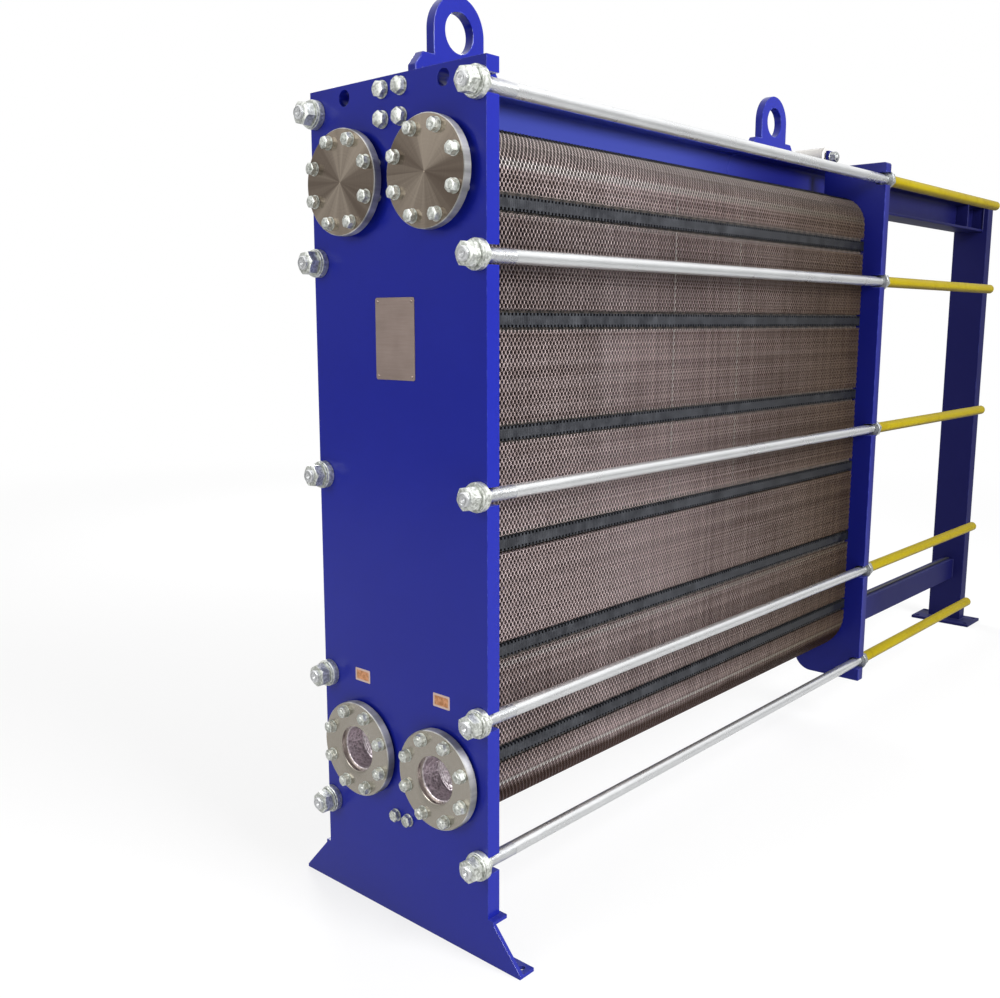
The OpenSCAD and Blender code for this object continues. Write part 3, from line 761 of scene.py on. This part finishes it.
# painted shade: the rear nuts turn darker towards the far end
zinc_tone_and_shade = zinc.blend(zinc_tone_and_shade, (0.17, 0.18, 0.21), zinc.fade(zinc.along, 1.6, 1.9) * 0.6)
zinc_plate = zinc.feed(Base_Color=zinc_tone_and_shade, Roughness=0.30 + 0.24 * patch,
                       Normal=zinc.relief(zinc.noise(420.0, 3.0) * 0.08))
bright = Finish("bright_bar", Metallic=0.85)
drawn = bright.noise(420.0, at=bright.stretched((1.0, 0.02, 1.0)))
dull = bright.noise(7.0, 5.0, 0.65)
bar_tone = bright.blend((0.60, 0.61, 0.62), (0.84, 0.85, 0.855), 0.5 * drawn + 0.5 * dull)
bright_bar = bright.feed(Base_Color=bar_tone, Roughness=0.18 + 0.22 * dull,
                         Normal=bright.relief(drawn * 0.05))
print("zinc and bright bar are ready")

# %% [markdown]
# ## Tie bolts
#
# Ten M30 bars pull the end plates together. Each has a centre hole in its tip, a thread that
# shows for some 80 mm behind the fixed plate, and a smooth bright length up to the pressure
# plate. A real thread climbs; at this size plain rings look the same and stay light.

# %% Rods
TO_MM = 1 / MM
THREAD, ROOT, SHOWN = 3.5, 1.9, 82


def ends(name):
    """Where a CAD part starts and stops along the machine, in millimetres."""
    low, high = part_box(name)
    return low.y * TO_MM, high.y * TO_MM


bush_face, bush_back = ends("front_bushings")
press_back = ends("pressure_plate")[1]
levels = []
for i in range(1, 6):
    low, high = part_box(f"tie_rod_right_{i}")
    levels.append((low.z + high.z) / 2)
rod_x = (low.x + high.x) / 2
rod_r = (high.z - low.z) / 2 * TO_MM
tip, rod_back = ends("tie_rod_right_5")


def threads(start, end):
    """Outline points of the rings from start to end."""
    outline = []
    for i in range(int((end - start) / THREAD)):
        at = start + i * THREAD
        outline += [(rod_r, at + 0.8), (rod_r - ROOT, at + THREAD / 2), (rod_r, at + 2.7)]
    return outline


shank = bush_back + SHOWN
rod = [(0, tip + 6), (2, tip + 4), (5.5, tip), (8.6, tip), (8.8, tip + 2), (11.0, tip + 2),
       (11.2, tip), (rod_r - 2.0, tip), (rod_r, tip + 1.8)]
rod += threads(tip + 1.6, tip + 9) + threads(bush_back - 1, shank)
rod += [(rod_r, shank + 2), (rod_r, press_back - 34), (rod_r - 2.2, press_back - 4),
        (rod_r - 0.6, press_back - 1), (rod_r - 0.6, rod_back), (0, rod_back)]
for side, word in ((-1, "left"), (1, "right")):
    for i, z in enumerate(levels, start=1):
        bm = bmesh.new()
        turned(bm, rod, side * rod_x, z, 22)
        put_away(f"tie_bolt_{word}_{i}", bm, bright_bar, [f"tie_rod_{word}_{i}"])

# %% Bushings, washers and nuts
spin_of = random.Random(11)
front_y = ends("fixed_plate")[0]
front_nut, rear_nut = ends("front_nuts"), ends("rear_nuts")


def any_turn():
    """Angle at which a nut came to rest; the seed keeps it the same in every run."""
    return spin_of.random() * 6.28


bushings, front_rings, front_hex, rear_rings, rear_hex = [bmesh.new() for _ in range(5)]
for side in (-1, 1):
    for z in levels:
        x = side * rod_x
        turned(bushings, [(rod_r + 0.2, bush_face), (29.5, bush_face), (31, bush_face + 1.5),
                          (31, front_y - 1.2), (30, front_y), (18, front_y), (18, -10), (16.4, -8),
                          (rod_r + 0.2, -8)], x, z, 40, closed=True)
        ring(front_rings, x, z, front_nut[1], bush_face, 29, rod_r + 0.3, 0.8)
        hexagon(front_hex, x, z, *front_nut, 30, rod_r - 0.8, any_turn())
        ring(rear_rings, x, z, press_back, press_back + 4, 29, rod_r + 0.3, 0.8)
        hexagon(rear_hex, x, z, *rear_nut, 30, rod_r - 0.8, any_turn())
for name, bm, node in (("bolt_bushings", bushings, "front_bushings"),
                       ("bolt_washers_front", front_rings, "front_washers"),
                       ("bolt_nuts_front", front_hex, "front_nuts"),
                       ("bolt_washers_rear", rear_rings, "rear_washers"),
                       ("bolt_nuts_rear", rear_hex, "rear_nuts")):
    put_away(name, bm, zinc_plate, [node])

# %% [markdown]
# ## Yellow thread covers
#
# Behind the pressure plate the threads are greased and kept clean in yellow plastic tubes. They
# are pushed on by hand, so they carry scuffs and a grimy film. What faces down is painted darker,
# as shade. They could be cylinders with a bevel, but a spun outline shapes the open end too.

# %% Covers
yellow = Finish("yellow_plastic", IOR=1.17)
scuff = yellow.noise(16.0, 6.0, 0.7)
film = yellow.fade(scuff, 0.5, 0.8)
yellow_grime_and_shade = yellow.blend((0.25, 0.178, 0.0), (0.33, 0.27, 0.001), yellow.noise(4.0))
# painted shade: what faces down is darker
yellow_grime_and_shade = yellow.blend(yellow_grime_and_shade, (0.10, 0.07, 0.004), yellow.facing_up(-0.15, -0.75) * 0.75)
yellow_grime_and_shade = yellow.blend(yellow_grime_and_shade, (0.15, 0.10, 0.003), film * 0.6)
yellow_tube = yellow.feed(Base_Color=yellow_grime_and_shade, Roughness=0.28 + 0.3 * scuff,
                          Normal=yellow.relief(yellow.noise(30.0, 2.0) * 0.4, 0.5))
near, far = ends("thread_covers")
tube = (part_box("thread_covers")[1].x - rod_x) * TO_MM
bm = bmesh.new()
for side in (-1, 1):
    for z in levels:
        turned(bm, [(0, far - 5), (rod_r + 0.2, far - 5), (rod_r + 0.2, near), (tube - 0.5, near),
                    (tube, near + 0.6), (tube, far - 2.6), (tube - 0.8, far - 0.8), (tube - 2.6, far),
                    (0, far)], side * rod_x, z, 28)
put_away("thread_covers_yellow", bm, yellow_tube, ["thread_covers"])

# %% [markdown]
# ## Turned steel
#
# The flanges are stainless steel, faced on a lathe. The tool leaves rings far too fine to model,
# but they decide how the face looks: each ring tips the light towards or away from the centre, so
# bright and dull sectors fan out from the middle. An anisotropic shader could do this, with a
# tangent for each flange. Here the normal itself is tipped along the radius, by a fast sine of
# the distance from the flange's own centre, which all four can share. The bright and dull sectors
# are also painted into the colour by the angle round the centre, as a painted sheen.

# %% A finish that follows the lathe
RINGS = 0.9 * MM


class TurnedFinish(Finish):
    """A finish that knows its place round the axis of the nearest port."""

    def __init__(self, name):
        super().__init__(name)
        side = self.maths("SIGN", self.across)
        self.upper = self.maths("GREATER_THAN", self.height, (port_z + port_top_z) / 2)
        u = self.across - side * port_x
        w = self.height - port_z - self.upper * (port_top_z - port_z)
        arm = self.add("CombineXYZ", {}, {0: u, 2: w})
        self.turn = self.maths("ARCTAN2", w, u)
        self.radius = self.vector("LENGTH", arm, output=1)
        self.rim = self.fade(self.radius, outer - 2.2 * MM, outer - 1.6 * MM)
        fine = self.maths("SINE", self.radius * (2 * math.pi / RINGS)) * (1 - self.rim)
        tipped = self.vector("SCALE", self.vector("NORMALIZE", arm), Scale=fine * 0.055)
        facing = self.add("NewGeometry", output="Normal")
        self.tilted = self.vector("NORMALIZE", self.vector("ADD", facing, tipped))
        self.groove = self.line_noise(self.radius, 260.0)
        # noise by the angle round the centre, for the painted sheen
        sector = self.add("CombineXYZ", {}, {0: self.turn * 0.9, 1: self.upper + side})
        self.streak = self.noise(2.2, 4.0, at=sector)

    def finished(self, dark, light, sheen, rough):
        """The face from dark to light by sheen, painted on the blind flanges, and its rim with painted bright
        and dull patches.
        """
        # painted sheen on the rim: bright and dull patches by the angle round it
        rim_tone_and_sheen = self.blend((0.20, 0.205, 0.20), (0.62, 0.62, 0.61), self.fade(self.streak, 0.35, 0.65))
        tone = self.blend(self.blend(dark, light, sheen), rim_tone_and_sheen, self.rim * 0.9)
        return self.feed(Base_Color=tone, Roughness=rough + 0.24 * self.rim, Metallic=1 - 0.35 * self.rim,
                         Normal=self.tilted)


print("rings are", round(RINGS / MM, 1), "mm apart")

# %% Turned steel
blind = TurnedFinish("turned_steel")
# painted sheen: bright and dull sectors by the angle round the centre
fan = blind.maths("COSINE", blind.turn * 2 - 2.4) * 0.5 + 0.5
sheen = blind.fade(fan * 0.35 + blind.streak * 1.1 + 0.08 * blind.groove, 0.42, 1.15)
flange_face_steel = blind.finished((0.185, 0.142, 0.112), (0.56, 0.475, 0.385), sheen,
                                   0.12 + 0.05 * blind.groove)
faced = TurnedFinish("faced_steel")
scratch = faced.noise(90.0, 4.0, 0.65)
sheen = 0.4 * scratch + 0.4 * faced.noise(14.0) + 0.2 * faced.groove
open_steel = faced.finished((0.36, 0.325, 0.27), (0.56, 0.52, 0.46), sheen, 0.16 + 0.14 * scratch)
print("turned steel nodes:", len(open_steel.node_tree.nodes))

# %% [markdown]
# ## Flanges
#
# Two blind flanges close the upper ports and two open ones wait for pipes below. All four have a
# chamfered rim in grey turned steel, patched bright and dull round it by painted highlights. The
# open ones have a chamfer at the bore, behind which the liner sits back.
# A bevelled cylinder would do for the rim, but one spun outline holds the bore's chamfer as well.

# %% Flanges and rings
edge, hole = outer * TO_MM, bore * TO_MM + 4.2
SEAT = 78


def rim_of(face, back):
    """Outline of the chamfered rim that all four flanges share."""
    return [(edge - 1.6, face), (edge, face + 1.6), (edge, back - 1.5), (edge - 1.5, back)]


seats = bmesh.new()
for side, word in ((-1, "left"), (1, "right")):
    bm, (face, back) = bmesh.new(), ends("blind_flange_right")
    turned(bm, [(0, face + 1.2), (1.6, face), *rim_of(face, back), (0, back)], side * port_x, port_top_z, 72)
    put_away(f"blind_cover_{word}", bm, flange_face_steel, [f"blind_flange_{word}"])
    ring(seats, side * port_x, port_top_z, back, front_y, SEAT, hole)
    bm, (face, back) = bmesh.new(), ends("open_flange_right")
    turned(bm, [(hole + 3.6, face), *rim_of(face, back), (hole, back), (hole, face + 2.2)],
           side * port_x, port_z, 72, closed=True)
    put_away(f"port_flange_{word}", bm, open_steel, [f"open_flange_{word}"])
    ring(seats, side * port_x, port_z, back, front_y, SEAT, hole)
put_away("port_seats", seats, open_steel, ["port_rings"])

# %% [markdown]
# ## Liners and port tunnels
#
# A thin liner protects the bore of each open port. It is rolled from sheet and a little crinkled.
# The folds are too shallow to model, so a bump of soft Voronoi cells makes them. Behind the liner
# the port runs on through the pack, past the rims of the first plates: one outline with a lip
# for each plate, spun like the rest.

# %% Liners
crinkle = Finish("liner_steel", Metallic=0.95)
folds = crinkle.add("TexVoronoi", {"feature": "SMOOTH_F1"},
                    {"Vector": crinkle.place, "Scale": 150.0, "Smoothness": 0.4})
fine = crinkle.noise(190.0, 4.0, 0.6)
mauve = crinkle.blend((0.44, 0.375, 0.41), (0.92, 0.85, 0.89), crinkle.fade(fine * 0.6 + folds * 0.6, 0.2, 0.8))
liner_sheet = crinkle.feed(Base_Color=mauve, Roughness=0.20 + 0.22 * fine,
                           Normal=crinkle.relief(folds * 2.2 + fine * 0.9, 0.8))
near, far = ends("port_liners")
r, step, steps = bore * TO_MM, pitch * TO_MM, round(TUNNEL / pitch)
lips = [(r + 3.6, far + TUNNEL * TO_MM)]
for i in range(steps):
    y = far + (steps - i) * pitch * TO_MM
    lips += [(r + 0.4, y - step * 0.35), (r + 3.0, y - step * 0.8)]
liners, tunnels = bmesh.new(), bmesh.new()
for side in (-1, 1):
    turned(liners, [(r, near + 1), (r + 1.2, near), (r + LINER_WALL, near), (r + LINER_WALL, far), (r, far)],
           side * port_x, port_z, 56, closed=True)
    turned(tunnels, lips + [(r + 3.6, far)], side * port_x, port_z, 40, closed=True)
put_away("port_liners_rolled", liners, liner_sheet, ["port_liners"])
put_away("port_tunnels", tunnels, liner_sheet)

# %% [markdown]
# ## Flange bolts and beam bolts
#
# Each flange is held by eight studs with a washer and a nut, and the beam and the guide bar are
# held to the fixed plate by hexagon bolts. They are true to scale: M16 on the flanges, M20 on the
# beam and M16 on the guide bar. One nut could be copied about, but a nut made for each place can
# stop at an angle of its own.

# %% Studs and bolts
def stud(bm, x, z, face, tip, size, start, washer=2.4):
    """A washer and nut on a face, with the rounded end of a stud."""
    r, seat = size / 2, face - washer
    ring(bm, x, z, seat, face, size * 0.93, r + 0.3, 0.5)
    hexagon(bm, x, z, seat - size * 0.8, seat, size, r - 0.6, start)
    turned(bm, [(0, tip), (r - 2.2, tip), (r - 0.5, tip + 1.6), (r - 0.5, face)], x, z, 16)


def headed(bm, x, z, face, size, start, washer=3):
    """A washer and a bolt head."""
    seat = face - washer
    ring(bm, x, z, seat, face, size * 0.92, size / 2, 0.6)
    hexagon(bm, x, z, seat - size * 0.62, seat, size, 0, start)


BOLT_CIRCLE = 90 * MM
proud = ends("blind_flange_right")[0] - cad_low.y * TO_MM - 0.2
stud_nuts = bmesh.new()
for side in (-1, 1):
    for z, (face, back) in ((port_z, ends("open_flange_right")), (port_top_z, ends("blind_flange_right"))):
        for i in range(8):
            at = (i + 0.5) * math.pi / 4
            x, up = side * port_x + BOLT_CIRCLE * math.cos(at), z + BOLT_CIRCLE * math.sin(at)
            stud(stud_nuts, x, up, face, face - proud, 16, any_turn())
            turned(stud_nuts, [(8, back), (8, front_y)], x, up, 14)
put_away("flange_studs", stud_nuts, zinc_plate)
heads = bmesh.new()
guide_low, guide_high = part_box("guide_bar")
places = [(28 * MM, beam_low.z + up * MM, 20) for up in (24, 83)]
places.append((20 * MM, (guide_low.z + guide_high.z) / 2, 16))
for side in (-1, 1):
    for x, z, size in places:
        headed(heads, side * x, z, front_y, size, any_turn())
put_away("frame_bolts", heads, zinc_plate)

# %% [markdown]
# ## The carrying beam
#
# The beam is a rolled I section. Rolling leaves a round fillet where the web meets the flanges and
# soft toes at the flange edges, which a plain drawing leaves out. Its outline is made flat,
# its corners are rounded, and it is extruded along the machine.

# %% Beam
FILLET, TOE = 9 * MM, 1.6 * MM
half, web, top, low = beam_high.x, 3.5 * MM, beam_high.z, beam_low.z
right = [(half, top), (half, top - FLANGE), (web, top - FLANGE), (web, low + FLANGE), (half, low + FLANGE),
         (half, low)]
bm = bmesh.new()
corner = [bm.verts.new((x, beam_low.y, z)) for x, z in right + [(-x, z) for x, z in reversed(right)]]
bm.faces.new(corner)
rounded(bm, [v for v in corner if abs(v.co.x) < web + MM], FILLET, 6, "VERTICES")
rounded(bm, [v for v in bm.verts if abs(v.co.x) > half - MM], TOE, 3, "VERTICES")
thickened(bm, beam_high.y - beam_low.y)
put_away("rolled_beam", bm, beam_enamel, ["carrying_beam"], sharp=40.0)

# %% [markdown]
# ## Rail and roller
#
# The plates stand on a steel rail along the guide bar, and the pressure plate hangs from a nylon
# roller on the beam. The roller and its axle are turned lying along the lathe, then swung across
# the machine, which is easier than spinning them in place.

# %% Rail and roller
# the rail takes the same near-black finish, with its painted shade
eased("guide_rail", 0.8, finish=dark_steel_in_shade)
nylon = Finish("roller_nylon", IOR=1.53)
grime = nylon.fade(nylon.noise(26.0, 6.0, 0.7), 0.5, 0.85)
roller_white = nylon.feed(Base_Color=nylon.blend((0.62, 0.60, 0.57), (0.30, 0.28, 0.26), grime * 0.5),
                          Roughness=0.38 + 0.3 * grime)
roll_low, roll_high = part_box("roller")
bracket_low, bracket_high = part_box("roller_brackets")
axle_low, axle_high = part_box("roller_axle")
wheel, axle = bmesh.new(), bmesh.new()
length, r = (roll_high.x - roll_low.x) * TO_MM, (roll_high.z - roll_low.z) / 2 * TO_MM
turned(wheel, [(10.2, 4), (20, 4), (22, 0), (r - 3, 0), (r, 3), (r, length / 2), (r, length - 3),
               (r - 3, length), (22, length), (20, length - 4), (10.2, length - 4)], 0, 0, 48, closed=True)
reach = (axle_high.x - axle_low.x) * TO_MM
turned(axle, [(0, 0), (8, 0), (9.8, 2), (9.8, reach - 2), (8, reach), (0, reach)], 0, 0, 24)
grip = reach / 2 - bracket_high.x * TO_MM
centre = (0, (roll_low.y + roll_high.y) / 2, (roll_low.z + roll_high.z) / 2)
for start, end in ((4, grip - 3), (reach - grip + 3, reach - 4)):
    hexagon(axle, 0, 0, start, end, 20, 9.6, 0.4)
for start in (grip - 3, reach - grip):
    ring(axle, 0, 0, start, start + 3, 18.5, 9.6)
for bm, size in ((wheel, length), (axle, reach)):
    bmesh.ops.translate(bm, verts=bm.verts, vec=(0, -size / 2 * MM, 0))
    bmesh.ops.rotate(bm, verts=bm.verts, cent=(0, 0, 0), matrix=Matrix.Rotation(-math.pi / 2, 3, "Z"))
    bmesh.ops.translate(bm, verts=bm.verts, vec=centre)
put_away("roller_turned", wheel, roller_white, ["roller"])
put_away("roller_bolt", axle, zinc_plate, ["roller_axle"])

# %% [markdown]
# ## Name plate and stickers
#
# The name plate is a bare sheet of brushed steel held by four rivets, and the stickers are plain
# orange film with a pale border. A helper, `card`, cuts both from a block. The border could be a
# piece of its own, but a distance from the sticker's edge, worked out in the finish, is enough.

# %% Name plate
brushed = Finish("name_plate_steel", Metallic=0.85)
lines = brushed.noise(500.0, at=brushed.stretched((0.04, 1.0, 1.0)))
cloud = brushed.noise(14.0, 5.0, 0.6)
plate_tone = brushed.blend((0.24, 0.18, 0.155), (0.46, 0.37, 0.33), 0.4 * lines + 0.6 * cloud)
name_steel = brushed.feed(Base_Color=plate_tone, Roughness=0.34 + 0.16 * cloud,
                          Normal=brushed.relief(lines * 0.03))


def card(bm, low, high, corner_mm, edge_mm):
    """A thin upright sheet with rounded corners and eased edges."""
    bar(bm, (low + high) / 2, high - low)
    posts = [e for e in bm.edges if abs((e.verts[0].co - e.verts[1].co).normalized().y) > 0.9
             and low.x - MM < e.verts[0].co.x < high.x + MM]
    rounded(bm, posts, corner_mm * MM, 5)
    front = [e for e in bm.edges if all(abs(v.co.y - low.y) < MM / 20 for v in e.verts)]
    rounded(bm, front, edge_mm * MM, 1)


RIVET = 8 * MM
low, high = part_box("name_plate")
top = low.y * TO_MM
bm = bmesh.new()
card(bm, low, high, 5, 0.4)
for x in (low.x + RIVET, high.x - RIVET):
    for z in (low.z + RIVET, high.z - RIVET):
        turned(bm, [(0, top - 1.9), (1.6, top - 1.7), (2.8, top - 1.0), (3.3, top), (3.3, top + 0.5)], x, z, 14)
put_away("name_plate_riveted", bm, name_steel, ["name_plate"])

# %% Stickers
low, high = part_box("stickers")
film = Finish("sticker_film", IOR=1.45)
half_w = 25 * MM
BORDER = 4.5 * MM
aside = film.maths("ABSOLUTE", film.maths("ABSOLUTE", film.across) - (high.x - half_w))
above = film.maths("ABSOLUTE", film.height - (low.z + high.z) / 2)
edge = film.maths("MAXIMUM", aside - (half_w - BORDER), above - ((high.z - low.z) / 2 - BORDER))
inner = film.fade(edge, 0.0006, -0.0004)
faded = film.blend((0.34, 0.13, 0.035), (0.66, 0.32, 0.16), film.fade(film.noise(120.0, 4.0, 0.7), 0.3, 0.7))
orange = film.feed(Base_Color=film.blend((0.56, 0.42, 0.36), faded, inner),
                   Roughness=0.35 + 0.2 * film.noise(20.0))
bm = bmesh.new()
for x in (low.x, high.x - 2 * half_w):
    one = bmesh.new()
    card(one, Vector((x, low.y, low.z)), Vector((x + 2 * half_w, high.y, high.z)), 2, 0.2)
    tip_in(bm, one)
put_away("stickers_plain", bm, orange, ["stickers"])

# %% [markdown]
# ## Welds
#
# The foot, the lugs, the column's base and the stiffeners are welded on. A weld bead is a small
# ridge of overlapping drops. A bevelled curve would be smooth, so each run here is a six-sided rod
# along the joint, extruded drop by drop, that swells and narrows every few millimetres.

# %% Weld beads
DROP = 0.55


def bead(bm, start, end, size_mm):
    """A rippled bead from start to end, in metres."""
    start, end = Vector(start), Vector(end)
    run = end - start
    drops = max(2, round(run.length / (size_mm * DROP * MM)))
    turn_to = run.to_track_quat("Z", "Y").to_matrix().to_4x4()
    rim = bmesh.ops.create_circle(bm, cap_ends=True, segments=6, radius=size_mm * MM * 0.35,
                                  matrix=Matrix.Translation(start) @ turn_to)["verts"]
    for i in range(1, drops + 1):
        edges = [e for e in {e for v in rim for e in v.link_edges} if all(v in rim for v in e.verts)]
        rim = points(bmesh.ops.extrude_edge_only(bm, edges=edges)["geom"])
        centre = start + run * (i / drops)
        size = size_mm * MM * (0.35 if i == drops else (0.56 if i % 2 else 0.44))
        bmesh.ops.translate(bm, verts=rim, vec=run / drops)
        for v in rim:
            v.co = centre + (v.co - centre).normalized() * size
    bmesh.ops.contextual_create(bm, geom=rim)


print("one drop every", DROP, "of a bead's size")

# %% Welds
def pair_along(bm, low, high, z, trim, size_mm):
    """Beads along both sides of a part at a height, each end shorter by its trim."""
    for x in (low.x, high.x):
        bead(bm, (x, low.y + trim[0] * MM, z), (x, high.y - trim[1] * MM, z), size_mm)


def one_across(bm, x_low, x_high, y, z, size_mm):
    """A bead across the machine."""
    bead(bm, (x_low, y, z), (x_high, y, z), size_mm)


beads = bmesh.new()
for word in ("front", "rear"):
    low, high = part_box(f"lifting_lug_{word}")
    pair_along(beads, low, high, low.z, (3, 3), 8)
    for y in (low.y, high.y):
        one_across(beads, low.x, high.x, y, low.z, 8)
plate_low, plate_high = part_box("fixed_plate")
sole_low, sole_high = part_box("foot_sole")
for low, high, inset, y, z, size in ((cap_low, cap_high, 10 * MM, web_high.y, cap_low.z, 6),
                                     (sole_low, sole_high, 14 * MM, web_high.y, sole_high.z, 6),
                                     (plate_low, plate_high, 3 * MM, plate_high.y, cap_high.z, 7)):
    one_across(beads, low.x + inset, high.x - inset, y, z, size)
col_low, col_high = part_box("support_column")
base_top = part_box("column_base")[1].z
pair_along(beads, col_low, col_high, base_top, (0, 2), 7)
one_across(beads, col_low.x, col_high.x, col_low.y, base_top, 7)
for x, low, high in ((beam_high.x - 2 * MM, beam_low, beam_high), (guide_high.x, guide_low, guide_high)):
    for side in (-1, 1):
        bead(beads, (side * x, col_low.y, low.z), (side * x, col_low.y, high.z), 6)
rib_low, rib_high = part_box("beam_stiffeners")
for y in (rib_low.y, rib_high.y):
    for side in (-1, 1):
        one_across(beads, side * 10 * MM, side * rib_high.x, y, rib_low.z, 5)
pair_along(beads, bracket_low, bracket_high, bracket_low.z, (2, 2), 6)
put_away("weld_beads", beads, blue_enamel, sharp=70.0)

# %% [markdown]
# ## Floor
#
# The machine stands on a plain pale floor with its soft shadow. The camera sees the floor nearly
# white, and pure white further off, so that it runs into the background. Polished steel sees a
# grey floor, darker with distance, as in a workshop, or its undersides would glow. A second floor
# could be hidden from the camera, but a Light Path node does it with one square.

# %% Floor
HALF_FLOOR = 30.0
bm = bmesh.new()
bmesh.ops.create_grid(bm, x_segments=1, y_segments=1, size=HALF_FLOOR)
floor_mesh = bpy.data.meshes.new("floor")
bm.to_mesh(floor_mesh)
bm.free()
placed("floor", floor_mesh)
pale = Finish("pale_floor", Base_Color=(0.85, 0.85, 0.85, 1.0), Roughness=0.9)
white = pale.add("Emission", {}, {"Color": (1.0, 1.0, 1.0, 1.0), "Strength": 1.0})
far = pale.fade(pale.vector("LENGTH", pale.place, output=1), 2.5, 9.0)
near_grey, far_grey = [pale.add("Emission", {}, {"Color": (1.0, 1.0, 1.0, 1.0), "Strength": strength})
                       for strength in (0.66, 0.32)]
grey = pale.either(near_grey, far_grey, far)
ground = pale.either(pale.either(pale.shader, grey, pale.ray("Glossy")), white,
                     pale.ray("Camera") * (0.75 + 0.25 * far))
pale.tree.links.new(ground.socket, pale.end.inputs["Surface"])
floor_mesh.materials.append(pale.material)
print("floor", 2 * HALF_FLOOR, "m square")

# %% [markdown]
# ## Room
#
# The background is white where the camera looks past the machine. Shiny parts see a soft room
# instead, brighter overhead than at the horizon, so that round bars have a light top and a
# darker belly. A sky image could give that; two levels and a fade need nothing from outside.

# %% World
world = bpy.data.worlds.new("studio")
bpy.context.scene.world = world
world.use_nodes = True
sky = Network(world.node_tree)
soft, horizon, overhead, white_air = [
    sky.add("Background", {}, {"Color": (1.0, 1.0, 1.0, 1.0), "Strength": strength})
    for strength in (0.40, 0.38, 1.3, 1.0)]
upward = sky.fade(sky.part(2, sky.add("TexCoord", output="Generated")), -0.05, 0.75)
room = sky.either(soft, sky.either(horizon, overhead, upward), sky.ray("Glossy"))
clear = sky.maths("MAXIMUM", sky.ray("Camera"), sky.ray("Transmission"))
sky.add("OutputWorld", {}, {"Surface": sky.either(room, white_air, clear)})
print("room nodes:", len(world.node_tree.nodes))

# %% [markdown]
# ## Lamps
#
# Three large disks light the machine: the key from the right and above, a weak fill in front, and
# one behind for the far side. Small lamps would draw hard spots on the enamel, and the sun one
# hard shadow.

# %% Lamps
def lamp(name, place, target, size, power):
    """A round lamp aimed at a target."""
    data = bpy.data.lights.new(name, "AREA")
    data.shape = "DISK"
    data.size = size
    data.energy = power
    shade = placed(name, data)
    shade.location = place
    shade.rotation_euler = (Vector(target) - Vector(place)).to_track_quat("-Z", "Y").to_euler()
    print(name, "lamp,", power, "W")


middle = (cad_low + cad_high) / 2
lamp("key", (5.4, 0.8, 4.0), middle, 3.5, 560.0)
lamp("fill", (-1.0, -4.2, 2.8), (0.0, 0.0, 1.0), 2.4, 75.0)
lamp("back", (-4.6, 4.2, 3.6), middle, 3.0, 240.0)

# %% Sizes and finish
print("triangles added:", sum(added.values()))
